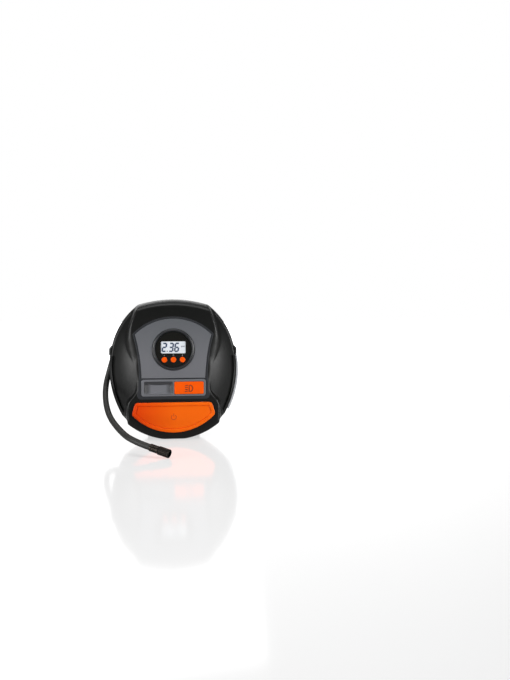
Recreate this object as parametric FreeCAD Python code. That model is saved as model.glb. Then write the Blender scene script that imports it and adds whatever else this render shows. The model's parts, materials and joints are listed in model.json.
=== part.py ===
import FreeCAD, Part
import math
import os
from FreeCAD import Vector

# Tyre inflator with a digital gauge. It stands upright on its lower edge.
# X runs to the right, Y runs to the back and Z runs up, all in millimetres.
# The origin is under the middle of the body, on the surface that it stands on.

# Body depth and walls
FRONT_Y = -40.0
SPLIT_FRONT_Y = -6.0
SPLIT_REAR_Y = 5.0
REAR_Y = 42.0
WALL = 2.5
FIT = 0.3
RUN_FIT = 0.05

# Arcs of the front view: centre x, centre z, radius
TOP_ARC = (0.0, 27.7, 154.0)
SIDE_ARC = (-11.7, 99.6, 94.6)
RIM_ARC = (-43.9, 91.0, 128.0)
CHIN_ARC = (0.0, 92.0, 92.8)
HORN_TOP_Z = 117.0
HORN_FOOT_Z = 108.5
HORN_REACH = 1.6

# Domed wings and the raised middle block
WING_RADIUS = 105.4
WING_CENTRE = (0.0, 51.6, 96.0)
RIM_FRONT_Y = -12.0
WING_LIMIT_Y = -38.0
BLOCK_BASE_CHIN = (0.0, 91.0, 91.5)
BLOCK_FRONT_CHIN = (0.0, 91.0, 90.2)
BLOCK_FRONT_TOP = (0.0, 27.7, 149.0)
BLOCK_FILLET = 6.5
BLOCK_WALL = 3.0

# Hose groove round the body, and the clip-in side lamp
GROOVE_DEPTH = 11.0
LAMP_TOP_Z = HORN_FOOT_Z - FIT
LAMP_FOOT_Z = 34.5
LAMP_ARC = (-33.6, 88.0, 120.2)
LAMP_WALL = 1.8
LAMP_BOARD_Z = (52.0, 94.0)

# Rear shell
REAR_STEPS = ((SPLIT_REAR_Y, 1.0), (27.0, 3.5), (35.5, 8.5), (REAR_Y, 17.0))
PLINTH_HALF = 35.0
PLINTH_FRONT_Y = 8.0
PLINTH_REAR_Y = 33.0
PLINTH_TOP_Z = 22.0
FOOT_HEIGHT = 2.0
FOOT_HALF = 5.0
FOOT_INSET = 6.0
VENT_COUNT = 7
VENT_PITCH = 6.0
VENT_WIDTH = 2.4
VENT_HALF = 21.0
VENT_Z = 118.0

# Face plates
KEY_PLATE_HALF = 41.3
KEY_PLATE_Z = (56.9, 78.6)
KEY_PLATE_CORNER = 3.0
FRAME_TOP = (0.0, 88.0, 71.6)
FRAME_SIDE = ((KEY_PLATE_HALF + 10.7, 137.2), (KEY_PLATE_HALF + 3.3, 96.0), (KEY_PLATE_HALF + 5.1, 58.4))
FRAME_FOOT_Z = 53.0
FRAME_CORNER = 5.0
FRAME_DEPTH = 1.4
FRAME_PROUD = 0.5
PLATE_TOP = (0.0, 88.0, 68.8)
PLATE_SIDE = ((KEY_PLATE_HALF + 7.4, 136.5), (KEY_PLATE_HALF + 1.7, 108.0), (KEY_PLATE_HALF - 0.5, 80.3))
PLATE_PROUD = 1.1
PLATE_GAP = 0.15

# Raised middle block: half widths and heights of its sides, at its foot and at the face
BLOCK_BASE = ((45.6, 174.3), (KEY_PLATE_HALF + 19.2, 104.0), (KEY_PLATE_HALF + 18.2, 25.4))
BLOCK_FRONT = ((44.0, 168.5), (KEY_PLATE_HALF + 16.2, 100.0), (KEY_PLATE_HALF + 17.0, 25.4))

# Gauge
GAUGE_Z = 117.1
MASK_RADIUS = 23.0
MASK_THICK = 2.0
BEZEL_RADIUS = MASK_RADIUS + 4.0
BEZEL_LIP = MASK_RADIUS + 1.9
BEZEL_PROUD = 1.6
LCD_HALF = 0.717 * MASK_RADIUS
LCD_Z = (GAUGE_Z - 0.226 * MASK_RADIUS, GAUGE_Z + 0.47 * MASK_RADIUS)
LCD_FIT = 0.1
TIP_RADIUS = 0.15 * MASK_RADIUS
TIP_PITCH = 0.504 * MASK_RADIUS
TIP_Z = GAUGE_Z - 0.57 * MASK_RADIUS
TIP_TRAVEL = 0.8
TIP_GAP = 0.2
TIP_PROUD = 0.9
TIP_FLANGE = 0.7

# Keys under the gauge
KEY_Z = (KEY_PLATE_Z[0] + 2.5, KEY_PLATE_Z[1] - 3.1)
LEFT_KEY_X = (3.8 - KEY_PLATE_HALF, -1.3)
RIGHT_KEY_X = (0.9, KEY_PLATE_HALF - 2.6)
KEY_CORNER = 1.2
KEY_PROUD = 1.5
KEY_TRAVEL = 1.2
KEY_LEDGE = 1.4
LEDGE_THICK = 1.2
KEY_SPLIT_X = (LEFT_KEY_X[1] + RIGHT_KEY_X[0]) / 2
KEY_SPLIT_HALF = 0.2
DISH_RADIUS = 25.0
DISH_DEPTH = 1.6
KEY_BOARD_HALF = KEY_PLATE_HALF - 5.3
KEY_BOARD_RIM = 6.0
KEY_POST_X = KEY_BOARD_HALF - 6.0

# Power button
POWER_TOP_Z = FRAME_FOOT_Z - 4.3
POWER_TOP_HALF = 49.4
POWER_SIDE = (53.1, 35.0)
POWER_CHIN = (0.0, 82.4, 72.8)
POWER_CORNER = 3.9
POWER_PROUD = 2.0
POWER_TRAVEL = 2.5
POWER_RIM = 4.6
POWER_DISH = 0.9
SPRING_X = 34.0
SPRING_Z = 33.0
SPRING_HALF = 10.0
SPRING_THICK = 0.5
EAR_START = 5.5
EAR_REACH = 9.0
EAR_END = 2.6
SPIGOT_RADIUS = 2.2

# Drive: motor, gears, crank and piston
DRIVE_Y = 9.0
MOTOR_Z = 45.0
MOTOR_RADIUS = 17.9
MOTOR_X = (-39.0, 9.0)
SHAFT_RADIUS = 1.6
MODULE = 1.0
PINION_TEETH = 12
GEAR_TEETH = 48
GEAR_X = (13.0, 19.0)
BRACKET_THICK = 3.0
GEAR_PIN_RADIUS = 3.0
LUG_Y = (28.0, 30.5)
LUG_INSET = 6.0
LEAD_PLACE = (40.0, 40.0)
LEAD_RADIUS = 5.0
CRANK_THROW = 8.0
CRANK_PIN_RADIUS = 2.5
ROD_X = (23.3, 28.7)
BORE_RADIUS = 9.7
CYLINDER_WALL = 2.8
CYLINDER_Z = (101.0, 128.0)
HEAD_HEIGHT = 11.0
HEAD_HALF = 14.0
PORT_RISE = 4.5
BARB_RADIUS = 2.0
BARB_LENGTH = 6.0
HEAD_BARB_LENGTH = 8.0
AIR_TUBE_RADIUS = 3.0
FAN_RADIUS = 14.0
FAN_BLADES = 7

# Hose and screw-on connector
HOSE_RADIUS = 3.7
GLAND_RADIUS = 5.2
GLAND_LENGTH = 16.0
GLAND_CONE = 2.4
NUT_RADIUS = 5.1
NUT_BORE = 3.95
NUT_CHAMBER = 4.3
CHAMBER_LENGTH = 6.1
NUT_FLUTES = 12
FLUTE_RADIUS = 0.6
FERRULE_RADIUS = 4.5
FERRULE_LENGTH = 11.0
SPIGOT_LENGTH = 2.2
CORE_BASE = 1.6
CORE_RADIUS = 1.0
SEAL_THICK = 2.4
HOSE_ROUTE = [
    (-79.9, -0.5, 104.0), (-84.8, -0.7, 87.0), (-89.6, -8.0, 66.5), (-87.4, -30.0, 47.5),
    (-79.4, -61.0, 33.5), (-65.0, -96.0, 23.8), (-49.2, -128.7, 17.4), (-27.0, -139.7, 11.2),
]
HOSE_TIP = (-4.9, -150.5, 5.15)

# Fasteners: x, z of the shell screws
LOW_SCREW = (KEY_PLATE_HALF + 11.2, 45.0)
TOP_SCREWS = [(-37.0, 163.0), (37.0, 163.0), (-62.5, 143.0), (62.5, 143.0)]
SHELL_SCREWS = TOP_SCREWS + [(-LOW_SCREW[0], LOW_SCREW[1]), LOW_SCREW]
SCREW_RADIUS = 1.5
SCREW_HEAD = 2.9
SCREW_HEAD_HEIGHT = 2.4
SMALL_HEAD = 2.6
SMALL_HEAD_HEIGHT = 1.4
SCREW_SINK = 16.0
SLOT_HALF = 0.4
BOSS_RADIUS = 4.2
LOW_BOSS_Y = -28.5

# Circuit boards: half width, heights, and the chips as x, z, width, height and depth
BOARD_THICK = 1.6
SWITCH_HALF = 3.0
TACT_HALF = 2.5
KEY_BOARD_Y = FRONT_Y + WALL + FIT + LEDGE_THICK + KEY_TRAVEL + 2.6
MAIN_BOARD_Y = -21.0
MAIN_BOARD_HALF = 40.0
MAIN_BOARD_Z = (86.0, 148.0)
MAIN_POST_X = MAIN_BOARD_HALF - 4.0
MAIN_POST_RISE = 4.0
POST_RADIUS = 2.0
CHIPS = [
    (-26.0, 98.0, 12.0, 12.0, 4.0), (-8.0, 140.0, 9.0, 6.0, 3.0),
    (-28.0, 134.0, 8.0, 8.0, 7.0), (12.0, 96.0, 14.0, 8.0, 2.5),
]
SENSOR_HALF = 5.0
SENSOR_DEPTH = 4.0
SENSOR_STEM = 3.9
SENSOR_TUBE_RADIUS = 2.6
PORT_RADIUS = 1.5

GEAR_Z = MOTOR_Z + MODULE * (PINION_TEETH + GEAR_TEETH) / 2
CRANK_TOP_Z = GEAR_Z + CRANK_THROW
ROD_MID_X = (ROD_X[0] + ROD_X[1]) / 2
X_DIR, Y_DIR, Z_DIR = Vector(1, 0, 0), Vector(0, 1, 0), Vector(0, 0, 1)


def save(name, *shapes):
    """Write one node, a single solid or a group of separate solids."""
    solids = [s for shape in shapes for s in shape.Solids]
    whole = solids[0] if len(solids) == 1 else Part.makeCompound(solids)
    if not whole.isValid():
        print("not valid:", name)
    whole.exportStep(os.path.join("parts", name + ".step"))
    print(name, len(solids), round(sum(s.Volume for s in solids)))


def box(x0, x1, y0, y1, z0, z1):
    return Part.makeBox(x1 - x0, y1 - y0, z1 - z0, Vector(x0, y0, z0))


def rod(start, end, radius):
    """A round bar from one point to another."""
    a, b = Vector(*start), Vector(*end)
    return Part.makeCylinder(radius, (b - a).Length, a, b - a)


def tube(start, end, outer, inner):
    return rod(start, end, outer).cut(rod(start, end, inner))


def prism(wire, y0, y1):
    """Push a closed outline of the front view from y0 to y1."""
    face = Part.Face(wire)
    face.translate(Vector(0, y0, 0))
    return face.extrude(Vector(0, y1 - y0, 0))


def point(x, z):
    return Vector(x, 0, z)


def line(a, b):
    return Part.LineSegment(a, b).toShape()


def arc(a, b, c):
    return Part.Arc(a, b, c).toShape()


def mirrored(p):
    return Vector(-p.x, p.y, p.z)


def on_arc(ring, x, up):
    """The point of a circle above or below its centre at x."""
    cx, cz, r = ring
    return point(x, cz + up * math.sqrt(r * r - (x - cx) ** 2))


def side_of(ring, z):
    """The right-hand point of a circle at height z."""
    cx, cz, r = ring
    return point(cx + math.sqrt(r * r - (z - cz) ** 2), z)


def smaller(ring, inset):
    return (ring[0], ring[1], ring[2] - inset)


def right_half_closed(points_and_arcs):
    """Join right-hand edges and their mirror images into one closed wire."""
    edges = []
    for kind, *pts in points_and_arcs:
        make = arc if kind == "arc" else line
        edges.append(make(*pts))
        edges.append(make(*[mirrored(p) for p in pts]))
    return Part.Wire(Part.__sortEdges__(edges))


def outline(inset=0.0):
    """The body's front view, moved inwards by inset all round."""
    top, side = smaller(TOP_ARC, inset), smaller(SIDE_ARC, inset)
    rim, chin = smaller(RIM_ARC, inset), smaller(CHIN_ARC, inset)
    crown = point(0, top[1] + top[2])
    shoulder = max((p for p in both_crossings(top, side)), key=lambda p: p.x)
    corner = max((p for p in both_crossings(rim, chin)), key=lambda p: p.x - p.z)
    horn_top, horn_foot = side_of(side, HORN_TOP_Z), side_of(rim, HORN_FOOT_Z)
    flat = math.sqrt(chin[2] ** 2 - (chin[1] - inset) ** 2)
    heel = point(flat, inset)
    middle = point(0, inset)
    shoulder_mid = on_arc(top, shoulder.x / 2, 1)
    chin_mid = on_arc(chin, (corner.x + flat) / 2, -1)
    return right_half_closed([
        ("arc", crown, shoulder_mid, shoulder),
        ("arc", shoulder, side_of(side, (shoulder.z + HORN_TOP_Z) / 2), horn_top),
        ("line", horn_top, horn_foot),
        ("arc", horn_foot, side_of(rim, (HORN_FOOT_Z + corner.z) / 2), corner),
        ("arc", corner, chin_mid, heel),
        ("line", heel, middle),
    ])


def both_crossings(first, second):
    return [crossing_at(first, second, s) for s in (-1, 1)]


def crossing_at(first, second, sign):
    (ax, az, ar), (bx, bz, br) = first, second
    gap = math.hypot(bx - ax, bz - az)
    along = (ar * ar - br * br + gap * gap) / (2 * gap)
    away = math.sqrt(ar * ar - along * along)
    ux, uz = (bx - ax) / gap, (bz - az) / gap
    return point(ax + along * ux - sign * away * uz, az + along * uz + sign * away * ux)


def neck(inset=0.0):
    """The middle ring's front view: full at the top, stepped in under the horns for the hose."""
    upper = prism(outline(inset), 0, 1).common(box(-200, 200, 0, 1, HORN_FOOT_Z + inset, 300))
    lower = prism(outline(GROOVE_DEPTH + inset), 0, 1)
    both = upper.fuse(lower).removeSplitter()
    face = min(both.Faces, key=lambda f: f.CenterOfMass.y)
    return face.OuterWire


def horns(y0, y1, inset=0.0):
    """The two small catches at the sides, where the hose tucks in."""
    solids = []
    for side in (-1, 1):
        foot = side_of(RIM_ARC, HORN_FOOT_Z)
        tip = foot.x + HORN_REACH - inset
        corners = [
            (foot.x - 6, HORN_TOP_Z + 3), (side_of(SIDE_ARC, HORN_TOP_Z + 4.5).x - inset, HORN_TOP_Z + 4.5),
            (tip, HORN_TOP_Z - 0.5), (tip, HORN_FOOT_Z), (foot.x - 6, HORN_FOOT_Z),
        ]
        pts = [point(side * x, z) for x, z in corners]
        wire = Part.makePolygon(pts + pts[:1])
        solids.append(prism(wire, y0, y1))
    return solids


def block_outline(sides, top, chin, y, inset=0.0):
    (x1, _), (x2, z2), (x3, _) = sides
    top, chin = smaller(top, inset), smaller(chin, inset)
    upper, lower = on_arc(top, x1 - inset, 1), on_arc(chin, x3 - inset, -1)
    edges = [
        arc(mirrored(upper), on_arc(top, 0, 1), upper),
        arc(upper, point(x2 - inset, z2), lower),
        arc(lower, on_arc(chin, 0, -1), mirrored(lower)),
        arc(mirrored(lower), point(-(x2 - inset), z2), mirrored(upper)),
    ]
    wire = Part.Wire(edges)
    wire.translate(Vector(0, y, 0))
    return wire


def block(inset, y_back, y_front):
    """The raised middle block, tapering from the body outline to the flat face."""
    base = block_outline(BLOCK_BASE, TOP_ARC, BLOCK_BASE_CHIN, y_back, inset)
    front = block_outline(BLOCK_FRONT, BLOCK_FRONT_TOP, BLOCK_FRONT_CHIN, y_front, inset)
    return Part.makeLoft([base, front], True, True)


def wings(inset, y_back):
    """The domed wings: the outline pushed forward and cut by a large sphere."""
    dome = Part.makeSphere(WING_RADIUS - inset, Vector(*WING_CENTRE))
    return prism(outline(inset), y_back, WING_LIMIT_Y).common(dome)


def front_wire(edge_list):
    return Part.Wire(Part.__sortEdges__(edge_list))


def plate_wire(top, side, foot_z, corner, inset=0.0):
    """A face plate's outline: domed top, hollow sides and a straight foot."""
    (x1, _), (x2, z2), (x3, z3) = side
    top = smaller(top, inset)
    upper = on_arc(top, x1 - inset, 1)
    lower = point(x3 - inset, z3)
    edges = [
        arc(mirrored(upper), on_arc(top, 0, 1), upper),
        arc(upper, point(x2 - inset, z2), lower),
    ]
    if corner:
        r = corner
        turn = point(lower.x - r, foot_z + inset)
        bend = point(lower.x - r * (1 - math.sqrt(0.5)), foot_z + inset + r * (1 - math.sqrt(0.5)))
        start = point(lower.x, foot_z + inset + r)
        edges += [line(lower, start), arc(start, bend, turn)]
        edges.append(line(mirrored(lower), mirrored(start)))
        edges.append(arc(mirrored(start), mirrored(bend), mirrored(turn)))
        edges += [line(turn, mirrored(turn))]
    else:
        foot = point(lower.x, foot_z + inset)
        edges += [line(lower, mirrored(lower))] if abs(foot.z - lower.z) < 0.01 else [
            line(lower, foot), line(foot, mirrored(foot)), line(mirrored(foot), mirrored(lower))]
    edges.append(arc(mirrored(lower), point(-(x2 - inset), z2), mirrored(upper)))
    return front_wire(edges)


def round_box(x0, x1, z0, z1, r):
    """A rectangle with rounded corners in the front view."""
    k = r * (1 - math.sqrt(0.5))
    p = point
    return Part.Wire([
        line(p(x0 + r, z0), p(x1 - r, z0)), arc(p(x1 - r, z0), p(x1 - k, z0 + k), p(x1, z0 + r)),
        line(p(x1, z0 + r), p(x1, z1 - r)), arc(p(x1, z1 - r), p(x1 - k, z1 - k), p(x1 - r, z1)),
        line(p(x1 - r, z1), p(x0 + r, z1)), arc(p(x0 + r, z1), p(x0 + k, z1 - k), p(x0, z1 - r)),
        line(p(x0, z1 - r), p(x0, z0 + r)), arc(p(x0, z0 + r), p(x0 + k, z0 + k), p(x0 + r, z0)),
    ])


def power_wire(inset=0.0):
    """The power button's outline: a wide bowl with a straight top."""
    chin = smaller(POWER_CHIN, inset)
    top_z = POWER_TOP_Z - inset
    r = max(POWER_CORNER - inset / 2, 1.0)
    side = point(POWER_SIDE[0] - inset, POWER_SIDE[1])
    top_x = POWER_TOP_HALF - inset
    lean = math.atan2(side.x - top_x, top_z - side.z)
    start = point(top_x + r * math.sin(lean), top_z - r * math.cos(lean))
    turn = point(top_x - r, top_z)
    bend = point(top_x - r * 0.22, top_z - r * 0.26)
    low = on_arc(chin, side.x - 2.0, -1)
    low_mid = point((side.x + low.x) / 2 + 0.55, (side.z + low.z) / 2 - 0.3)
    return right_half_closed([
        ("line", point(0, top_z), turn),
        ("arc", turn, bend, start),
        ("line", start, side),
        ("arc", side, low_mid, low),
        ("arc", low, on_arc(chin, low.x / 2, -1), on_arc(chin, 0, -1)),
    ])


def screws(places, y_head, y_tip, radius, head_radius, head_height):
    """Pan-head screws along Y, with their heads at y_head."""
    step = 1 if y_tip > y_head else -1
    made = []
    for x, z in places:
        head = rod((x, y_head - step * head_height, z), (x, y_head, z), head_radius)
        crown = y_head - step * head_height
        slot = box(x - SLOT_HALF, x + SLOT_HALF, crown - 1, crown + 1, z - 1.6, z + 1.6)
        made.append(head.cut(slot).fuse(rod((x, y_head, z), (x, y_tip, z), radius)).removeSplitter())
    return made


def make_front_shell():
    skin = wings(0, SPLIT_FRONT_Y)
    flange = prism(outline(), RIM_FRONT_Y, SPLIT_FRONT_Y)
    raised = block(0, SPLIT_FRONT_Y - 2, FRONT_Y)
    front_face = min(raised.Faces, key=lambda f: f.CenterOfMass.y)
    raised = raised.makeFillet(BLOCK_FILLET, front_face.Edges)
    shell = skin.fuse(flange).fuse(raised).fuse(horns(RIM_FRONT_Y, SPLIT_FRONT_Y))
    shell = shell.cut(box(-100, 100, FRONT_Y - 1, 0, -5, 0))
    hollow = wings(WALL, SPLIT_FRONT_Y).fuse(block(BLOCK_WALL, SPLIT_FRONT_Y - 2, FRONT_Y + WALL))
    web = prism(outline(WALL), SPLIT_FRONT_Y - 2, SPLIT_FRONT_Y).cut(
        prism(neck(WALL), SPLIT_FRONT_Y - 3, SPLIT_FRONT_Y + 1))
    shell = shell.cut(hollow).fuse(web)
    for x, z in SHELL_SCREWS:
        boss_end = LOW_BOSS_Y if z < POWER_TOP_Z else FRONT_Y
        boss = rod((x, SPLIT_FRONT_Y, z), (x, boss_end, z), BOSS_RADIUS).common(hollow)
        if z < POWER_TOP_Z:
            x0, x1 = sorted((x, x + math.copysign(14.0, x)))
            rib = box(x0, x1, LOW_BOSS_Y, SPLIT_FRONT_Y - 4, z - 1, z + 1).common(hollow)
            boss = boss.fuse(rib)
        shell = shell.fuse(boss)
        hole_end = LOW_BOSS_Y - 1 if z < POWER_TOP_Z else SPLIT_FRONT_Y - 11
        shell = shell.cut(rod((x, SPLIT_FRONT_Y + 1, z), (x, hole_end, z), SCREW_RADIUS + RUN_FIT))
    for x, z, y in board_posts():
        shell = shell.fuse(rod((x, FRONT_Y + WALL - 0.5, z), (x, y, z), POST_RADIUS))
    pocket = prism(plate_wire(FRAME_TOP, FRAME_SIDE, FRAME_FOOT_Z, FRAME_CORNER, -PLATE_GAP),
                   FRONT_Y - 5, FRONT_Y + FRAME_DEPTH)
    gauge_hole = rod((0, FRONT_Y - 5, GAUGE_Z), (0, FRONT_Y + 6, GAUGE_Z), MASK_RADIUS)
    key_holes = [prism(round_box(x0 - FIT, x1 + FIT, KEY_Z[0] - FIT, KEY_Z[1] + FIT, KEY_CORNER),
                       FRONT_Y - 5, FRONT_Y + 6) for x0, x1 in (LEFT_KEY_X, RIGHT_KEY_X)]
    power_hole = prism(power_wire(-FIT), FRONT_Y - 5, FRONT_Y + 8)
    return shell.cut([pocket, gauge_hole, power_hole] + key_holes)


def make_mid_frame():
    ring = prism(neck(), SPLIT_FRONT_Y, SPLIT_REAR_Y).fuse(horns(SPLIT_FRONT_Y, SPLIT_REAR_Y))
    ring = ring.cut(prism(neck(WALL), SPLIT_FRONT_Y - 1, SPLIT_REAR_Y + 1)).removeSplitter()
    return ring.cut(gland_hole())


def rear_body(inset):
    """The back half: the outline drawn in by steps towards the flat back."""
    whole = None
    for (y0, in0), (y1, in1) in zip(REAR_STEPS, REAR_STEPS[1:]):
        last = y1 - (inset if y1 == REAR_Y else 0.0)
        near, far = outline(in0 + inset), outline(in1 + inset)
        near.translate(Vector(0, y0, 0))
        far.translate(Vector(0, last, 0))
        stage = Part.makeLoft([near, far], True, True)
        whole = whole.fuse(stage) if whole else stage
    return whole


def board_posts():
    """Where the front shell's posts hold the key board and the main board: x, z and their end."""
    low_z = (KEY_Z[0] - KEY_BOARD_RIM + POST_RADIUS, KEY_Z[1] + KEY_BOARD_RIM - POST_RADIUS)
    high_z = (MAIN_BOARD_Z[0] + MAIN_POST_RISE, MAIN_BOARD_Z[1] - MAIN_POST_RISE)
    low = [(sx * KEY_POST_X, z, KEY_BOARD_Y) for sx in (-1, 1) for z in low_z]
    high = [(sx * MAIN_POST_X, z, MAIN_BOARD_Y) for sx in (-1, 1) for z in high_z]
    return low + high


def make_rear_shell():
    """Back shell with its standing plinth, screw posts, vent slots and motor cradle."""
    outer = rear_body(0.0)
    plinth = box(-PLINTH_HALF, PLINTH_HALF, PLINTH_FRONT_Y, PLINTH_REAR_Y, FOOT_HEIGHT, PLINTH_TOP_Z)
    web = prism(outline(REAR_STEPS[0][1] + WALL), SPLIT_REAR_Y, SPLIT_REAR_Y + 2).cut(
        prism(neck(WALL), SPLIT_REAR_Y - 1, SPLIT_REAR_Y + 3))
    shell = outer.fuse(plinth).cut(rear_body(WALL)).fuse(web)
    for x, z in SHELL_SCREWS:
        post = rod((x, SPLIT_REAR_Y, z), (x, REAR_Y - 1, z), BOSS_RADIUS).common(outer)
        post = post.fuse(rod((x, SPLIT_FRONT_Y, z), (x, SPLIT_REAR_Y + 1, z), BOSS_RADIUS))
        deep = rod((x, REAR_Y - SCREW_SINK, z), (x, REAR_Y + 1, z), SCREW_HEAD + FIT)
        hole = rod((x, SPLIT_FRONT_Y - 1, z), (x, REAR_Y, z), SCREW_RADIUS + 0.1)
        shell = shell.fuse(post).cut(deep).cut(hole)
    for x, z in frame_lugs():
        shell = shell.fuse(rod((x, LUG_Y[1], z), (x, REAR_Y - 1, z), BOSS_RADIUS))
        shell = shell.cut(rod((x, LUG_Y[0], z), (x, LUG_Y[1] + 6, z), SCREW_RADIUS + RUN_FIT))
    cradle = box(MOTOR_X[0] + 9, MOTOR_X[0] + 13, DRIVE_Y, REAR_Y - 1, MOTOR_Z - 13, MOTOR_Z + 13)
    shell = shell.fuse(cradle.cut(drive_bar(-60, 20, MOTOR_Z, MOTOR_RADIUS + RUN_FIT)))
    for row in range(VENT_COUNT):
        z = VENT_Z + VENT_PITCH * (row - (VENT_COUNT - 1) / 2)
        shell = shell.cut(box(-VENT_HALF, VENT_HALF, REAR_Y - 5, REAR_Y + 1, z, z + VENT_WIDTH))
    x, z = LEAD_PLACE
    return shell.cut(rod((x, REAR_Y - 6, z), (x, REAR_Y + 1, z), LEAD_RADIUS + RUN_FIT))


def gland_axis():
    exit_point, second = Vector(*HOSE_ROUTE[0]), Vector(*HOSE_ROUTE[1])
    return exit_point, (exit_point - second).normalize()


def gland_hole():
    start, up = gland_axis()
    return Part.makeCylinder(GLAND_RADIUS - 1.0 + RUN_FIT, 30, start - up * 5, up)


def make_lamp():
    """The side work lamp in the right-hand groove: frosted lens, reflector and light board."""
    def crescent(inset, y0, y1):
        outer = Part.makeCylinder(LAMP_ARC[2] - inset, y1 - y0, Vector(LAMP_ARC[0], y0, LAMP_ARC[1]), Y_DIR)
        band = box(40, 120, y0, y1, LAMP_FOOT_Z + inset, LAMP_TOP_Z - inset)
        return outer.common(band).cut(prism(outline(GROOVE_DEPTH - inset), y0 - 1, y1 + 1))

    y0, y1 = SPLIT_FRONT_Y + FIT / 2, SPLIT_REAR_Y - FIT / 2
    lens = crescent(0.1, y0, y1).cut(crescent(LAMP_WALL, y0 + LAMP_WALL, y1 - LAMP_WALL))
    floor_ring = smaller(RIM_ARC, GROOVE_DEPTH - LAMP_WALL - 0.2)
    strip = tube_band(floor_ring, 1.2, y0 + 2.2, y1 - 2.2, *LAMP_BOARD_Z)
    diodes = []
    for i in range(4):
        z = LAMP_BOARD_Z[0] + 6 + 10 * i
        x = side_of(floor_ring, z).x
        diodes.append(box(x + 0.7, x + 2.4, -2.2, 1.2, z - 1.7, z + 1.7))
    return lens, strip.fuse(diodes)


def tube_band(ring, thick, y0, y1, z0, z1):
    """A strip that follows a circle of the front view between two heights."""
    outer = Part.makeCylinder(ring[2] + thick, y1 - y0, Vector(ring[0], y0, ring[1]), Y_DIR)
    inner = Part.makeCylinder(ring[2], y1 - y0, Vector(ring[0], y0, ring[1]), Y_DIR)
    return outer.cut(inner).common(box(0, 120, y0, y1, z0, z1))


def key_plate_wire(inset=0.0):
    z0, z1 = KEY_PLATE_Z
    half = KEY_PLATE_HALF - inset
    return round_box(-half, half, z0 + inset, z1 - inset, KEY_PLATE_CORNER - inset)


def key_wires(gap):
    return [round_box(x0 - gap, x1 + gap, KEY_Z[0] - gap, KEY_Z[1] + gap, KEY_CORNER + gap)
            for x0, x1 in (LEFT_KEY_X, RIGHT_KEY_X)]


def make_face():
    """The dark border frame, the grey gauge plate and the grey key plate."""
    seat_y = FRONT_Y + FRAME_DEPTH
    border = plate_wire(FRAME_TOP, FRAME_SIDE, FRAME_FOOT_Z, FRAME_CORNER)
    frame = prism(border, FRONT_Y - FRAME_PROUD, seat_y)
    frame = frame.cut(prism(plate_wire(PLATE_TOP, PLATE_SIDE, PLATE_SIDE[2][1], 0, -PLATE_GAP),
                            FRONT_Y - 5, seat_y + 1))
    frame = frame.cut(prism(key_plate_wire(-PLATE_GAP), FRONT_Y - 5, seat_y + 1))
    plate = prism(plate_wire(PLATE_TOP, PLATE_SIDE, PLATE_SIDE[2][1], 0), FRONT_Y - PLATE_PROUD, seat_y)
    plate = plate.cut(rod((0, FRONT_Y - 5, GAUGE_Z), (0, seat_y + 1, GAUGE_Z), BEZEL_RADIUS + PLATE_GAP))
    keys = prism(key_plate_wire(), FRONT_Y - PLATE_PROUD, seat_y)
    keys = keys.cut([prism(w, FRONT_Y - 5, seat_y + 1) for w in key_wires(FIT)])
    return frame, plate, keys


def ring_profile(points):
    """Spin a closed profile of (radius, y) points about the gauge's own axis."""
    pts = [Vector(r, y, GAUGE_Z) for r, y in points]
    wire = Part.makePolygon(pts + pts[:1])
    return Part.Face(wire).revolve(Vector(0, 0, GAUGE_Z), Y_DIR, 360)


def tip_centres():
    return [(-TIP_PITCH, TIP_Z), (0.0, TIP_Z), (TIP_PITCH, TIP_Z)]


def make_gauge():
    """Bezel ring, black mask disc, glass of the digital display and its light box."""
    seat_y = FRONT_Y + FRAME_DEPTH
    top_y = FRONT_Y - PLATE_PROUD
    bezel = ring_profile([
        (MASK_RADIUS + 0.1, seat_y), (BEZEL_RADIUS, seat_y),
        (BEZEL_RADIUS, top_y), (BEZEL_RADIUS - 0.5, top_y - 0.5),
        (BEZEL_LIP + 0.3, top_y - BEZEL_PROUD), (BEZEL_LIP - 0.5, top_y - BEZEL_PROUD),
        (MASK_RADIUS + 0.1, FRONT_Y + 0.3),
    ])
    mask_back = FRONT_Y + MASK_THICK
    mask = rod((0, FRONT_Y, GAUGE_Z), (0, mask_back, GAUGE_Z), MASK_RADIUS - RUN_FIT)
    z0, z1 = LCD_Z
    half = LCD_HALF + LCD_FIT
    mask = mask.cut(box(-half, half, FRONT_Y - 1, mask_back + 1, z0 - LCD_FIT, z1 + LCD_FIT))
    for x, z in tip_centres():
        mask = mask.cut(rod((x, FRONT_Y - 1, z), (x, mask_back + 1, z), TIP_RADIUS + TIP_GAP))
    glass_back = mask_back + 0.6
    glass = box(-LCD_HALF, LCD_HALF, FRONT_Y + 0.4, glass_back, z0, z1)
    light = box(-LCD_HALF - 1.0, LCD_HALF + 1.0, glass_back, glass_back + 3.4, z0 - 1.0, z1 + 1.0)
    return bezel, mask, glass, light


def make_tips():
    """The three small round buttons, each with a flange behind the mask."""
    made = []
    front, seat = FRONT_Y - TIP_PROUD, FRONT_Y + MASK_THICK + FIT
    for x, z in tip_centres():
        cap = rod((x, front, z), (x, seat, z), TIP_RADIUS)
        cap = cap.makeChamfer(0.5, [min(cap.Edges, key=lambda e: e.BoundBox.YMax)])
        flange = rod((x, seat, z), (x, seat + TIP_PROUD, z), TIP_RADIUS + TIP_FLANGE)
        made.append(cap.fuse(flange).removeSplitter())
    return made


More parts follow.
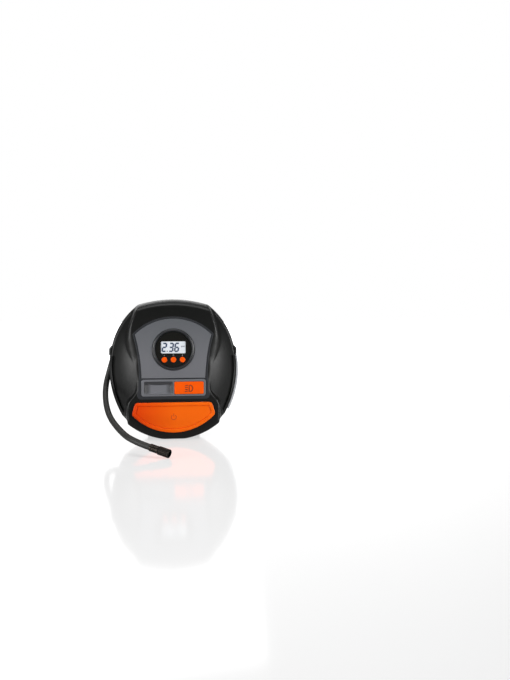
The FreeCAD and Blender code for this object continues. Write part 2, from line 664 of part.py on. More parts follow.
def make_display_board():
    """The board behind the display, its tact switches and the rubber mat between them."""
    board_y = FRONT_Y + 6.0
    stem_top = FRONT_Y + MASK_THICK + FIT + TIP_PROUD + TIP_TRAVEL + TIP_GAP
    board = rod((0, board_y, GAUGE_Z), (0, board_y + BOARD_THICK, GAUGE_Z), MASK_RADIUS - 1.5)
    switches = []
    for x, z in tip_centres():
        body = box(x - TACT_HALF, x + TACT_HALF, board_y - 1.2, board_y, z - TACT_HALF, z + TACT_HALF)
        stem = rod((x, stem_top, z), (x, board_y - 1.0, z), TACT_HALF / 2)
        switches.append(body.fuse(stem).removeSplitter())
    for x in (5.5 - MASK_RADIUS, MASK_RADIUS - 5.5):
        board = board.cut(rod((x, board_y - 1, GAUGE_Z), (x, board_y + 3, GAUGE_Z), SCREW_RADIUS))
    return board, switches


def make_key(x0, x1, dished):
    """A wide push key with a ledge behind the face and two guide legs."""
    front = FRONT_Y - PLATE_PROUD - KEY_PROUD + KEY_TRAVEL
    wall_back = FRONT_Y + WALL
    ledge_y = wall_back + FIT
    cap = prism(round_box(x0, x1, KEY_Z[0], KEY_Z[1], KEY_CORNER), front, ledge_y)
    if x0 < 0:
        ledge_x = (x0 - KEY_LEDGE, KEY_SPLIT_X - KEY_SPLIT_HALF)
    else:
        ledge_x = (KEY_SPLIT_X + KEY_SPLIT_HALF, x1 + KEY_LEDGE)
    ledge = box(*ledge_x, ledge_y, ledge_y + LEDGE_THICK, KEY_Z[0] - KEY_LEDGE, KEY_Z[1] + KEY_LEDGE)
    key = cap.fuse(ledge)
    if dished:
        middle = (x0 + x1) / 2
        axis_y = front + DISH_DEPTH - DISH_RADIUS
        dish = rod((middle, axis_y, KEY_Z[0] + 2.4), (middle, axis_y, KEY_Z[1] - 1.6), DISH_RADIUS)
        key = key.cut(dish)
    return key


def make_key_board():
    """The board and two switches behind the wide keys."""
    board_y = KEY_BOARD_Y
    z_mid = (KEY_Z[0] + KEY_Z[1]) / 2
    board = box(-KEY_BOARD_HALF, KEY_BOARD_HALF, board_y, board_y + BOARD_THICK,
                KEY_Z[0] - KEY_BOARD_RIM, KEY_Z[1] + KEY_BOARD_RIM)
    switches = []
    for x0, x1 in (LEFT_KEY_X, RIGHT_KEY_X):
        x = (x0 + x1) / 2
        body = box(x - SWITCH_HALF, x + SWITCH_HALF, board_y - 1.5, board_y,
                   z_mid - SWITCH_HALF, z_mid + SWITCH_HALF)
        stem = rod((x, board_y - 2.5, z_mid), (x, board_y - 1, z_mid), SWITCH_HALF / 2)
        switches.append(body.fuse(stem).removeSplitter())
    return board, switches


def make_power_button():
    """The big dished power button with a skirt, a ledge and two spring spigots."""
    front = FRONT_Y - POWER_PROUD
    ledge_y = FRONT_Y + WALL + FIT
    cap = prism(power_wire(), front, ledge_y)
    front_face = min(cap.Faces, key=lambda f: f.CenterOfMass.y)
    cap = cap.makeFillet(1.2, front_face.Edges)
    dish = prism(power_wire(POWER_RIM), front - 1, front + POWER_DISH)
    button = cap.cut(dish)
    ledge = prism(power_wire(-1.2), ledge_y, ledge_y + 1.2)
    button = button.fuse(ledge)
    button = button.cut(prism(power_wire(3.0), front + 3.0, ledge_y + 2))
    for x in (-SPRING_X, SPRING_X):
        button = button.fuse(rod((x, front + 2.8, SPRING_Z), (x, ledge_y + 0.6, SPRING_Z), SPIGOT_RADIUS))
    plunger = rod((0, front + 2.8, SPRING_Z), (0, ledge_y + 0.6, SPRING_Z), 3.0)
    return button.fuse(plunger)


def make_power_parts():
    """Bracket with the power switch, two bowed leaf springs and the bracket's screws."""
    ledge_y = FRONT_Y + WALL + FIT
    plate_y = LOW_BOSS_Y - 2.0
    half = LOW_SCREW[0] - EAR_START
    bracket = box(-half, half, plate_y, LOW_BOSS_Y, SPRING_Z - 7, SPRING_Z + 9)
    places = [(x, z) for x, z in SHELL_SCREWS if z < POWER_TOP_Z]
    for x, z in places:
        inner, outer = sorted((x - math.copysign(EAR_REACH, x), x + math.copysign(EAR_END, x)))
        bracket = bracket.fuse(box(inner, outer, plate_y, LOW_BOSS_Y, z - 4.5, z + 4.5))
        bracket = bracket.cut(rod((x, plate_y - 1, z), (x, LOW_BOSS_Y + 1, z), SCREW_RADIUS + RUN_FIT))
    switch_top = ledge_y + 0.6 + POWER_TRAVEL + 0.2
    switch = box(-6, 6, switch_top + 1.2, plate_y, SPRING_Z - 6, SPRING_Z + 6)
    stem = rod((0, switch_top, SPRING_Z), (0, switch_top + 1.3, SPRING_Z), SPIGOT_RADIUS)
    switch = switch.fuse(stem).removeSplitter()
    springs = []
    crown = ledge_y + 0.6 + FIT
    for x in (-SPRING_X, SPRING_X):
        foot = plate_y - SPRING_THICK
        path = [Vector(x - SPRING_HALF, foot, 0), Vector(x, crown, 0), Vector(x + SPRING_HALF, foot, 0)]
        lower = [p + Vector(0, SPRING_THICK, 0) for p in path]
        outer_arc, inner_arc = Part.Arc(*path).toShape(), Part.Arc(*lower).toShape()
        ends = [line(path[0], lower[0]), line(path[2], lower[2])]
        strip = Part.Face(front_wire([outer_arc, inner_arc] + ends)).extrude(Vector(0, 0, 6))
        strip.translate(Vector(0, 0, SPRING_Z - 3))
        springs.append(strip)
    fixings = screws(places, plate_y, LOW_BOSS_Y + 8, SCREW_RADIUS, SMALL_HEAD, SMALL_HEAD_HEIGHT)
    return bracket, switch, springs, fixings


def gear_wheel(teeth, x0, x1, z, phase):
    """A spur gear along X with straight-flanked teeth and running backlash."""
    pitch = MODULE * teeth / 2
    root, tip = pitch - 1.2 * MODULE, pitch + 0.75 * MODULE
    pts = []
    for i in range(teeth):
        centre = phase + 2 * math.pi * i / teeth
        for radius, half in ((root, 0.85), (tip, 0.32)):
            turn = half * MODULE / radius
            pts.append((centre - turn, radius))
        for radius, half in ((tip, 0.32), (root, 0.85)):
            turn = half * MODULE / radius
            pts.append((centre + turn, radius))
    corners = [Vector(x0, DRIVE_Y + r * math.sin(a), z + r * math.cos(a)) for a, r in pts]
    face = Part.Face(Part.makePolygon(corners + corners[:1]))
    return face.extrude(Vector(x1 - x0, 0, 0))


def drive_bar(x0, x1, z, radius):
    return rod((x0, DRIVE_Y, z), (x1, DRIVE_Y, z), radius)


def make_motor():
    """Motor can with a drawn nose, brush cap, shaft, pinion and cooling fan."""
    x0, x1 = MOTOR_X
    can = drive_bar(x0 + 6, x1, MOTOR_Z, MOTOR_RADIUS)
    can = can.makeFillet(1.5, [max(can.Edges, key=lambda e: e.BoundBox.XMin)])
    can = can.cut(drive_bar(x0 + 6, x1 + 1, MOTOR_Z, SHAFT_RADIUS + RUN_FIT))
    cap = drive_bar(x0, x0 + 6, MOTOR_Z, MOTOR_RADIUS - 0.6).cut(
        drive_bar(x0 - 1, x0 + 7, MOTOR_Z, SHAFT_RADIUS + RUN_FIT))
    shaft = drive_bar(x0 - 8.6, GEAR_X[1] + 1.5, MOTOR_Z, SHAFT_RADIUS)
    pinion = gear_wheel(PINION_TEETH, GEAR_X[0] - 0.2, GEAR_X[1] + 1, MOTOR_Z, math.pi / PINION_TEETH)
    pinion = pinion.cut(drive_bar(0, 40, MOTOR_Z, SHAFT_RADIUS))
    hub = drive_bar(x0 - 8.5, x0 - 1.5, MOTOR_Z, 4.0).cut(drive_bar(-80, 0, MOTOR_Z, SHAFT_RADIUS))
    fan = hub
    for i in range(FAN_BLADES):
        blade = box(x0 - 8, x0 - 2, DRIVE_Y - 0.6, DRIVE_Y + 0.6, MOTOR_Z + 3.4, MOTOR_Z + FAN_RADIUS)
        middle = Vector(x0 - 5, DRIVE_Y, MOTOR_Z + 9)
        blade.rotate(middle, Z_DIR, 35)
        blade.rotate(Vector(0, DRIVE_Y, MOTOR_Z), X_DIR, 360 * i / FAN_BLADES)
        fan = fan.fuse(blade)
    return can, cap, shaft, pinion, fan


def make_crank_gear():
    """The big gear with its crank disc and pin, turning on a fixed stud."""
    x0, x1 = GEAR_X
    gear = gear_wheel(GEAR_TEETH, x0, x1, GEAR_Z, math.pi)
    for i in range(6):
        a = math.pi / 6 + math.pi * i / 3
        y, z = DRIVE_Y + 15.8 * math.sin(a), GEAR_Z + 15.8 * math.cos(a)
        gear = gear.cut(rod((x0 - 1, y, z), (x1 + 1, y, z), 3.6))
    gear = gear.fuse(drive_bar(x1, x1 + 2, GEAR_Z, 11.5))
    gear = gear.cut(drive_bar(x0 - 1, x1 + 3, GEAR_Z, GEAR_PIN_RADIUS + RUN_FIT))
    gear = gear.cut(drive_bar(x1, x1 + 3, GEAR_Z, 4.9))
    pin_z = CRANK_TOP_Z
    return gear.fuse(rod((x1 + 1.9, DRIVE_Y, pin_z), (ROD_X[0] - FIT, DRIVE_Y, pin_z), CRANK_PIN_RADIUS))


def make_gear_stud():
    x0, x1 = GEAR_X
    stud = drive_bar(MOTOR_X[1] + 0.2, x1 + 1.6, GEAR_Z, GEAR_PIN_RADIUS)
    stud = stud.cut(tube((x1 + 0.4, DRIVE_Y, GEAR_Z), (x1 + 1.1, DRIVE_Y, GEAR_Z), GEAR_PIN_RADIUS + 1, 2.3))
    clip = tube((x1 + 0.45, DRIVE_Y, GEAR_Z), (x1 + 1.05, DRIVE_Y, GEAR_Z), 4.5, 2.35)
    clip = clip.cut(box(x1, x1 + 2, DRIVE_Y - 1.2, DRIVE_Y + 1.2, GEAR_Z - 6, GEAR_Z))
    return stud, clip


def make_drive_frame():
    """The pressed bracket that carries the motor, the gear stud and the cylinder."""
    x0, x1 = MOTOR_X[1], MOTOR_X[1] + BRACKET_THICK
    plate = box(x0, x1, DRIVE_Y - 19, LUG_Y[1], MOTOR_Z - 19, CYLINDER_Z[0] + 6)
    plate = plate.makeFillet(6, [e for e in plate.Edges if abs(e.BoundBox.XLength - BRACKET_THICK) < 0.01])
    plate = plate.cut(drive_bar(x0 - 1, x1 + 1, MOTOR_Z, 5.0))
    plate = plate.cut(drive_bar(x0 - 1, x1 + 1, GEAR_Z, GEAR_PIN_RADIUS))
    for y in motor_screw_places():
        plate = plate.cut(rod((x0 - 1, y, MOTOR_Z), (x1 + 1, y, MOTOR_Z), SCREW_RADIUS + 0.1))
    z = CYLINDER_Z[0]
    deck = box(x1 - 0.5, ROD_MID_X + 15, DRIVE_Y - 15, DRIVE_Y + 15, z + 2.0, z + 5.0)
    sleeve_fit = BORE_RADIUS + CYLINDER_WALL + RUN_FIT
    deck = deck.cut(rod((ROD_MID_X, DRIVE_Y, z), (ROD_MID_X, DRIVE_Y, z + 9), sleeve_fit))
    frame = plate.fuse(deck)
    for lug_x, lug_z in frame_lugs():
        lug = box(lug_x - 5, x0 + 0.5, LUG_Y[0], LUG_Y[1], lug_z - 5, lug_z + 5)
        hole = rod((lug_x, LUG_Y[0] - 1, lug_z), (lug_x, LUG_Y[1] + 1, lug_z), SCREW_RADIUS + 0.1)
        frame = frame.fuse(lug).cut(hole)
    return frame


def frame_lugs():
    return [(MOTOR_X[1] - LUG_INSET, MOTOR_Z - 11), (MOTOR_X[1] - LUG_INSET, CYLINDER_Z[0] - 1)]


def motor_screw_places():
    return [DRIVE_Y - 12.5, DRIVE_Y + 12.5]


def make_motor_screws():
    x = MOTOR_X[1] + BRACKET_THICK
    made = []
    for y in motor_screw_places():
        head = rod((x, y, MOTOR_Z), (x + SMALL_HEAD_HEIGHT, y, MOTOR_Z), SMALL_HEAD)
        shank = rod((MOTOR_X[1] + 0.1, y, MOTOR_Z), (x, y, MOTOR_Z), SCREW_RADIUS)
        made.append(head.fuse(shank).removeSplitter())
    return made


def make_cylinder():
    """Cylinder sleeve, finned head with barbs, and four head screws."""
    z0, z1 = CYLINDER_Z
    c = (ROD_MID_X, DRIVE_Y)
    outer = BORE_RADIUS + CYLINDER_WALL
    sleeve = rod((*c, z0), (*c, z1), outer)
    square = (c[0] - HEAD_HALF, c[0] + HEAD_HALF, c[1] - HEAD_HALF, c[1] + HEAD_HALF)
    sleeve = sleeve.fuse(box(*square, z1 - 4, z1))
    sleeve = sleeve.fuse(tube((*c, z0 + 5.0), (*c, z0 + 7.0), outer + 1.2, outer - 1))
    sleeve = sleeve.cut(rod((*c, z0 - 1), (*c, z1 + 1), BORE_RADIUS))
    top = z1 + HEAD_HEIGHT
    head = box(*square, z1, top)
    head = head.makeFillet(3.0, [e for e in head.Edges if abs(e.BoundBox.ZLength - HEAD_HEIGHT) < 0.01])
    for i in range(4):
        y = c[1] - 7.5 + 5 * i
        head = head.cut(box(c[0] - 9.5, c[0] + 9.5, y - 0.9, y + 0.9, top - 4, top + 1))
    head = head.cut(rod((*c, z1 - 1), (*c, z1 + 3), 6.0))
    port_z = z1 + PORT_RISE
    wall_x, wall_y = c[0] - HEAD_HALF, c[1] - HEAD_HALF
    barb = rod((wall_x - HEAD_BARB_LENGTH, c[1], port_z), (wall_x + 1, c[1], port_z), BARB_RADIUS)
    port = rod((c[0], wall_y - 6, port_z), (c[0], wall_y + 1, port_z), PORT_RADIUS)
    head = head.fuse(barb).fuse(port)
    corners = [(c[0] + sx * 11.2, c[1] + sy * 11.2) for sx in (-1, 1) for sy in (-1, 1)]
    bolts = []
    for x, y in corners:
        head = head.cut(rod((x, y, z1 - 1), (x, y, top + 1), 1.3 + RUN_FIT))
        sleeve = sleeve.cut(rod((x, y, z1 - 5), (x, y, z1 + 1), 1.3 + RUN_FIT))
        shank = rod((x, y, z1 - 4), (x, y, top), 1.3)
        bolts.append(shank.fuse(rod((x, y, top), (x, y, top + 1.8), 2.4)).removeSplitter())
    return sleeve, head, bolts


def make_piston():
    """The one-piece rocking rod with its piston plate, and the cup seal on top."""
    c = (ROD_MID_X, DRIVE_Y)
    crown_z = CYLINDER_Z[1] - 2.0
    big_end = rod((ROD_X[0], DRIVE_Y, CRANK_TOP_Z), (ROD_X[1], DRIVE_Y, CRANK_TOP_Z), 5.6)
    beam = box(ROD_X[0] + 0.7, ROD_X[1] - 0.7, DRIVE_Y - 3.5, DRIVE_Y + 3.5, CRANK_TOP_Z + 3, crown_z - 4)
    disc = rod((*c, crown_z - 5), (*c, crown_z - 2.2), BORE_RADIUS - 0.5)
    piston = big_end.fuse([beam, disc])
    piston = piston.cut(rod((ROD_X[0] - 1, DRIVE_Y, CRANK_TOP_Z), (ROD_X[1] + 1, DRIVE_Y, CRANK_TOP_Z),
                            CRANK_PIN_RADIUS + RUN_FIT))
    piston = piston.fuse(rod((*c, crown_z - 2.3), (*c, crown_z), 5.0))
    cup = tube((*c, crown_z - 2.2), (*c, crown_z - 0.9), BORE_RADIUS - RUN_FIT, 5.0)
    return piston, cup


def bent_tube(pts, radius, share=0.45):
    """A tube along straight runs joined by tangent arcs as large as the runs allow."""
    edges, start, radii = [], pts[0], []
    for before, at, after in zip(pts, pts[1:], pts[2:]):
        back, ahead = (before - at).normalize(), (after - at).normalize()
        turn = math.pi - back.getAngle(ahead)
        reach = share * min((at - before).Length, (after - at).Length)
        bend = reach / math.tan(turn / 2)
        radii.append(round(bend, 1))
        first, last = at + back * reach, at + ahead * reach
        inward = (back + ahead).normalize()
        middle = at + inward * (bend / math.cos(turn / 2) - bend)
        edges += [line(start, first), arc(first, middle, last)]
        start = last
    edges.append(line(start, pts[-1]))
    path = Part.Wire(edges)
    section = Part.Wire(Part.makeCircle(radius, pts[0], pts[1] - pts[0]))
    swept = path.makePipeShell([section], True, False)
    print("tube length", round(path.Length, 1), "radii", radii,
          "volume share", round(swept.Volume / (math.pi * radius ** 2 * path.Length), 4))
    return swept


def make_gland():
    """The hose gland in the groove's shelf, with a barb for the inner air tube."""
    start, up = gland_axis()
    gland = Part.makeCylinder(GLAND_RADIUS - 1.0, GLAND_LENGTH, start, up)
    gland = gland.fuse(Part.makeCone(HOSE_RADIUS + 0.6, GLAND_RADIUS, GLAND_CONE, start, up))
    return gland.fuse(Part.makeCylinder(BARB_RADIUS, GLAND_LENGTH + BARB_LENGTH, start, up))


def make_connector():
    """Crimped ferrule, fluted nut that turns on it, and the nut's inner core and seal."""
    end, tip = Vector(*HOSE_ROUTE[-1]), Vector(*HOSE_TIP)
    axis = (tip - end).normalize()
    ferrule = Part.makeCylinder(FERRULE_RADIUS, FERRULE_LENGTH, end, axis)
    shoulder = end + axis * FERRULE_LENGTH
    ferrule = ferrule.fuse(Part.makeCylinder(NUT_CHAMBER - RUN_FIT, SPIGOT_LENGTH, shoulder, axis))
    nut_start = end + axis * (FERRULE_LENGTH + FIT)
    length = (tip - nut_start).Length
    nut = Part.makeCylinder(NUT_RADIUS, length, nut_start, axis)
    side = axis.cross(Z_DIR).normalize()
    over = side.cross(axis)
    for i in range(NUT_FLUTES):
        a = 2 * math.pi * i / NUT_FLUTES
        at = side * math.cos(a) + over * math.sin(a)
        foot = nut_start + at * (NUT_RADIUS + FLUTE_RADIUS / 3) + axis * 1.2
        nut = nut.cut(Part.makeCylinder(FLUTE_RADIUS, length - 2.5, foot, axis))
    nut = nut.cut(Part.makeCylinder(NUT_BORE, length + 2, nut_start - axis, axis))
    nut = nut.cut(Part.makeCylinder(NUT_CHAMBER, CHAMBER_LENGTH, nut_start, axis))
    core_at = shoulder + axis * SPIGOT_LENGTH
    seal_at = core_at + axis * CORE_BASE
    core = Part.makeCylinder(CORE_RADIUS, CORE_BASE + SEAL_THICK, core_at, axis)
    core = core.fuse(Part.makeCylinder(NUT_BORE - 0.5, CORE_BASE, core_at, axis))
    seal = Part.makeCylinder(NUT_CHAMBER - 0.2, SEAL_THICK, seal_at, axis)
    seal = seal.cut(Part.makeCylinder(CORE_RADIUS, SEAL_THICK + 2, seal_at - axis, axis))
    return ferrule, nut, core, seal


def make_air_tube():
    """The inner air tube from the cylinder head's barb to the gland's barb."""
    start, up = gland_axis()
    barb_end = Vector(ROD_MID_X - HEAD_HALF - 1, DRIVE_Y, CYLINDER_Z[1] + PORT_RISE)
    gland_end = start + up * (GLAND_LENGTH + 0.3)
    z = barb_end.z
    route = [barb_end, Vector(-16, DRIVE_Y, z), Vector(-42, DRIVE_Y - 2, z + 3)]
    route += [Vector(-60, DRIVE_Y - 6, z + 2), gland_end + up * 11, gland_end]
    solid = bent_tube(route, AIR_TUBE_RADIUS)
    solid = solid.cut(Part.makeCylinder(BARB_RADIUS + RUN_FIT, BARB_LENGTH, gland_end, up))
    return solid.cut(Part.makeCylinder(BARB_RADIUS + RUN_FIT, HEAD_BARB_LENGTH, barb_end, X_DIR * -1))


def make_boards():
    """Main board with the pressure sensor, on posts of the front shell."""
    seat_y = MAIN_BOARD_Y + BOARD_THICK
    board = box(-MAIN_BOARD_HALF, MAIN_BOARD_HALF, MAIN_BOARD_Y, seat_y, *MAIN_BOARD_Z)
    parts = []
    for x, z, width, height, depth in CHIPS:
        chip = box(-width / 2, width / 2, seat_y, seat_y + depth, -height / 2, height / 2)
        parts.append(chip.translated(point(x, z)))
    x, z = ROD_MID_X, CYLINDER_Z[1] + PORT_RISE
    half, crown = SENSOR_HALF, seat_y + SENSOR_DEPTH
    sensor = box(x - half, x + half, seat_y, crown, z - half, z + half)
    sensor = sensor.fuse(rod((x, crown - 0.6, z), (x, crown + SENSOR_STEM, z), PORT_RADIUS))
    hose = tube((x, crown + 0.2, z), (x, DRIVE_Y - HEAD_HALF - 0.2, z), SENSOR_TUBE_RADIUS, PORT_RADIUS)
    return board, parts, sensor, hose


def make_rear_details():
    """Feet pads, vent grille and the low-voltage lead's gland."""
    feet = []
    for x in (FOOT_HALF - PLINTH_HALF, PLINTH_HALF - FOOT_HALF):
        for y in (PLINTH_FRONT_Y + FOOT_INSET, PLINTH_REAR_Y - FOOT_INSET):
            feet.append(box(x - FOOT_HALF, x + FOOT_HALF, y - FOOT_HALF, y + FOOT_HALF, 0, FOOT_HEIGHT))
    x, z = LEAD_PLACE
    gland = tube((x, REAR_Y - WALL - 4, z), (x, REAR_Y, z), LEAD_RADIUS, 2.6)
    return feet, gland


def main():
    os.makedirs("parts", exist_ok=True)
    save("front_shell", make_front_shell())
    save("mid_frame", make_mid_frame())
    save("rear_shell", make_rear_shell())
    lens, lamp_board = make_lamp()
    save("lamp_lens", lens)
    save("lamp_board", lamp_board)
    frame, plate, key_plate = make_face()
    save("face_frame", frame)
    save("gauge_plate", plate)
    save("key_plate", key_plate)
    bezel, mask, glass, light = make_gauge()
    save("gauge_bezel", bezel)
    save("display_mask", mask)
    save("display_glass", glass)
    save("display_light", light)
    for name, tip in zip(("minus_button", "mode_button", "plus_button"), make_tips()):
        save(name, tip)
    board, switches = make_display_board()
    save("display_board", board)
    save("tip_switches", *switches)
    save("dished_key", make_key(*LEFT_KEY_X, True))
    save("light_key", make_key(*RIGHT_KEY_X, False))
    board, switches = make_key_board()
    save("key_board", board)
    save("key_switches", *switches)
    save("power_button", make_power_button())
    bracket, switch, springs, fixings = make_power_parts()
    save("power_bracket", bracket)
    save("power_switch", switch)
    save("power_springs", *springs)
    save("bracket_screws", *fixings)
    can, cap, shaft, pinion, fan = make_motor()
    save("motor_can", can)
    save("motor_cap", cap)
    save("motor_shaft", shaft)
    save("pinion", pinion)
    save("cooling_fan", fan)
    save("crank_gear", make_crank_gear())
    stud, clip = make_gear_stud()
    save("gear_stud", stud)
    save("stud_clip", clip)
    save("drive_frame", make_drive_frame())
    save("motor_screws", *make_motor_screws())
    save("frame_screws", *screws(frame_lugs(), LUG_Y[0], LUG_Y[1] + 5,
                                 SCREW_RADIUS, SMALL_HEAD, SMALL_HEAD_HEIGHT))
    sleeve, head, bolts = make_cylinder()
    save("cylinder", sleeve)
    save("cylinder_head", head)
    save("head_screws", *bolts)
    piston, cup = make_piston()
    save("piston_rod", piston)
    save("piston_cup", cup)
    save("hose_gland", make_gland())
    save("hose", bent_tube([Vector(*p) for p in HOSE_ROUTE], HOSE_RADIUS))
    ferrule, nut, core, seal = make_connector()
    save("hose_ferrule", ferrule)
    save("connector_nut", nut)
    save("connector_core", core)
    save("connector_seal", seal)
    save("air_tube", make_air_tube())
    board, chips, sensor, sensor_tube = make_boards()
    save("main_board", board)
    save("board_parts", *chips)
    save("pressure_sensor", sensor)
    save("sensor_tube", sensor_tube)
    feet, lead_gland = make_rear_details()
    save("rubber_feet", *feet)
    save("lead_gland", lead_gland)
    save("shell_screws", *screws(SHELL_SCREWS, REAR_Y - SCREW_SINK, SPLIT_FRONT_Y - 10,
                                 SCREW_RADIUS, SCREW_HEAD, SCREW_HEAD_HEIGHT))


main()
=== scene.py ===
import json
import math

import bmesh
import bpy
from mathutils import Matrix, Vector


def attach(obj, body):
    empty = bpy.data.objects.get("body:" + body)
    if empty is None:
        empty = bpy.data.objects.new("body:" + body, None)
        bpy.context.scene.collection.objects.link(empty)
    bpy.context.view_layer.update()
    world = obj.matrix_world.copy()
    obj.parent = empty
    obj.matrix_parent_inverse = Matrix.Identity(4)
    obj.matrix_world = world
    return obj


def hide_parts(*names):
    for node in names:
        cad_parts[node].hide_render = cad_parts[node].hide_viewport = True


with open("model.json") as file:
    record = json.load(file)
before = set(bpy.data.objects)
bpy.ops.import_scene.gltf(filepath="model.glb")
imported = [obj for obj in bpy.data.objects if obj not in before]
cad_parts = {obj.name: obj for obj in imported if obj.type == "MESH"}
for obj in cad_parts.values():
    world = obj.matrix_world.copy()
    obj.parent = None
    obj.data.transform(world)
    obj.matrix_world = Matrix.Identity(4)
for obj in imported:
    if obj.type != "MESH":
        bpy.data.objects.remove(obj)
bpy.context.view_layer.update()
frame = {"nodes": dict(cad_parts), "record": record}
nodes = frame["nodes"]

# Sizes are in millimetres and meshes are brought to metres when they are finished.
# X runs to the right, Y to the back and Z up, as in the solids.
MM = 0.001
TOUCH = 0.05

# Body: arcs of the front view as centre x, centre z and radius
TOP_ARC = (0.0, 27.7, 154.0)
SIDE_ARC = (-11.7, 99.6, 94.6)
RIM_ARC = (-43.9, 91.0, 128.0)
CHIN_ARC = (0.0, 92.0, 92.8)
BODY_MIDDLE = (0.0, 86.0)
BODY_REACH = 130.0
HALVINGS = 22
OUTLINE_STEPS = 240
HORN_FOOT_Z = 108.5
HORN_TOP_Z = 117.0
HORN_ROOT_Z = 121.5
HORN_REACH = 84.3
HORN_FADE = 1.0
FACE_Y = -40.0
FRONT_SPLIT_Y = -6.0

# Front shell: domed wings, raised middle block, and the bead round the rim
WING_RADIUS = 104.0
WING_CENTRE_Z = 96.0
WING_CENTRE_Y = 53.2
WING_BARREL_BELOW = 0.72
WING_BARREL_ABOVE = 0.9
RIM_FORWARD = 12.0
RIM_ROUND = 2.5
BEAD_HEIGHT = 2.3
BEAD_TOP = 3.6
BEAD_END = 5.4
BEAD_GROOVE = (5.8, 1.4, 0.4)
BLOCK_SIDE = [
    (10.0, 57.0), (22.0, 59.3), (36.0, 60.5), (45.0, 60.0), (51.0, 57.5), (57.0, 52.5), (63.0, 48.6),
    (72.0, 47.5), (84.0, 47.6), (96.0, 50.0), (108.0, 55.0), (119.0, 58.6), (131.0, 59.6), (147.0, 56.0),
    (163.0, 50.0), (176.0, 43.5), (186.0, 38.0),
]
SHOULDER_HEIGHTS = (88.0, 100.0, 118.0, 150.0)
FLANK_SHOULDER = (14.0, 9.0)
FOOT_SHOULDER = (3.2, 4.0)
CROWN_SHOULDER = (8.5, 28.0)
CROWN_SLOPE = (22.0, 4.0)
CHIN_SHOULDER = (6.5, 4.5)
CHIN_OUT = 0.3
FOOT_CLEAR = 0.2
SHOULDER_DRAFT = 12.0
FLANK_LEAN = 0.95
SHOULDER_POWER = 3
CREASE_POWER = 2.5
LEAST_FALL = 0.001
DOME_BLEND = 1.2
SHELL_TURNS = 560
SHELL_RINGS = 118
ROUND_STEPS = 7
SKIRT_STEPS = (2.5, 0.5)
RETURN_STEPS = (0.4, 11.0)
SIDE_START_Y = -20.0
FAR_BELOW = (0.0, -500.0)
HIDDEN_INSET = 1.5

# Plates of the face: top arc, then half widths and heights of the hollow sides
FRAME_TOP = (0.0, 88.0, 71.6)
FRAME_SIDE = ((52.0, 137.2), (44.6, 96.0), (46.4, 58.4))
FRAME_FOOT_Z = 53.0
FRAME_CORNER = 5.0
FRAME_FRONT_Y = -40.5
PLATE_TOP = (0.0, 88.0, 68.8)
PLATE_SIDE = ((48.7, 136.5), (43.0, 108.0), (40.8, 80.3))
PLATE_FRONT_Y = -41.1
SEAT_Y = -38.6
SEAM = 0.15
PLATE_EDGE = 0.4
FRAME_EDGE = 0.3
SIDE_STEPS = 40
CROWN_STEPS = 60
FOOT_STEPS = 8
CORNER_STEPS = 6
KEY_PLATE = (-41.3, 41.3, 56.9, 78.6)
KEY_PLATE_CORNER = 3.0
LEFT_KEY = (-37.5, -1.3, 59.4, 75.5)
RIGHT_KEY = (0.9, 38.7, 59.4, 75.5)
KEY_CORNER = 1.2
KEY_FRONT_Y = -41.4
KEY_BACK_Y = -37.2
KEY_GAP = 0.3
KEY_EDGE = 0.8
RIGHT_KEY_CORNER = 1.8
SCOOP_DEPTH = 3.0
SCOOP_GRID = (96, 44)
SCOOP_EDGE = 0.5
SCOOP_CORNER_POWERS = (24, 14)
SCOOP_SPAN = 0.97
SCOOP_LIP = (0.97, 0.72)
SCOOP_LIP_SAG = 0.14
SCOOP_FOOT = (0.05, 0.13)

# Round gauge
GAUGE_Z = 117.1
BEZEL_RADIUS = 27.0
MASK_RADIUS = 22.95
MASK_EDGE = 0.15
BEZEL_PROFILE = [
    (23.1, -39.7), (23.1, SEAT_Y), (26.95, SEAT_Y), (26.95, -41.3), (26.6, -41.75), (26.0, -42.0),
    (25.5, -42.5), (25.1, -42.7), (24.6, -42.7), (24.2, -42.4), (23.7, -41.0),
]
MASK_DEPTH = 2.0
WINDOW = (-15.9, 15.6, 112.2, 127.6)
WINDOW_CORNER = 1.3
DISPLAY = (-16.5, 16.5, 111.9, 127.9)
DISPLAY_CORNER = 1.1
DISPLAY_FRONT_Y = -39.6
DISPLAY_BACK_Y = -37.4
DISPLAY_EDGE = 0.1
TIP_RADIUS = 3.45
TIP_STEPS = 40
TIP_HOLE_STEPS = 36
TIP_GAP = 0.2
TIP_PITCH = 11.6
TIP_Z = 104.0
TIP_PROFILE = [
    (0.0, -40.9), (0.0, -36.8), (4.4, -36.8), (4.4, -37.7), (TIP_RADIUS, -37.7), (TIP_RADIUS, -40.3),
    (3.55, -40.6), (3.2, -40.8), (2.4, -40.87),
]

# Reading: left edge and lit segments of each digit, then the decimal point and the unit
DIGITS = ((-14.4, "abged"), (-5.6, "abgcd"), (1.5, "afgecd"))
DIGIT_WIDTH = 4.4
DIGIT_FOOT_Z = 114.8
DIGIT_HEIGHT = 10.2
DIGIT_SLANT = 0.13
DIGIT_STROKE = 1.9
DECIMAL_POINT = (-8.6, -7.2, DIGIT_FOOT_Z - 0.6, DIGIT_FOOT_Z + 0.7)
DECIMAL_CORNER = 0.3
UNIT = ((10.0, "B"), (11.6, "A"), (13.2, "R"))
UNIT_Z = 120.2

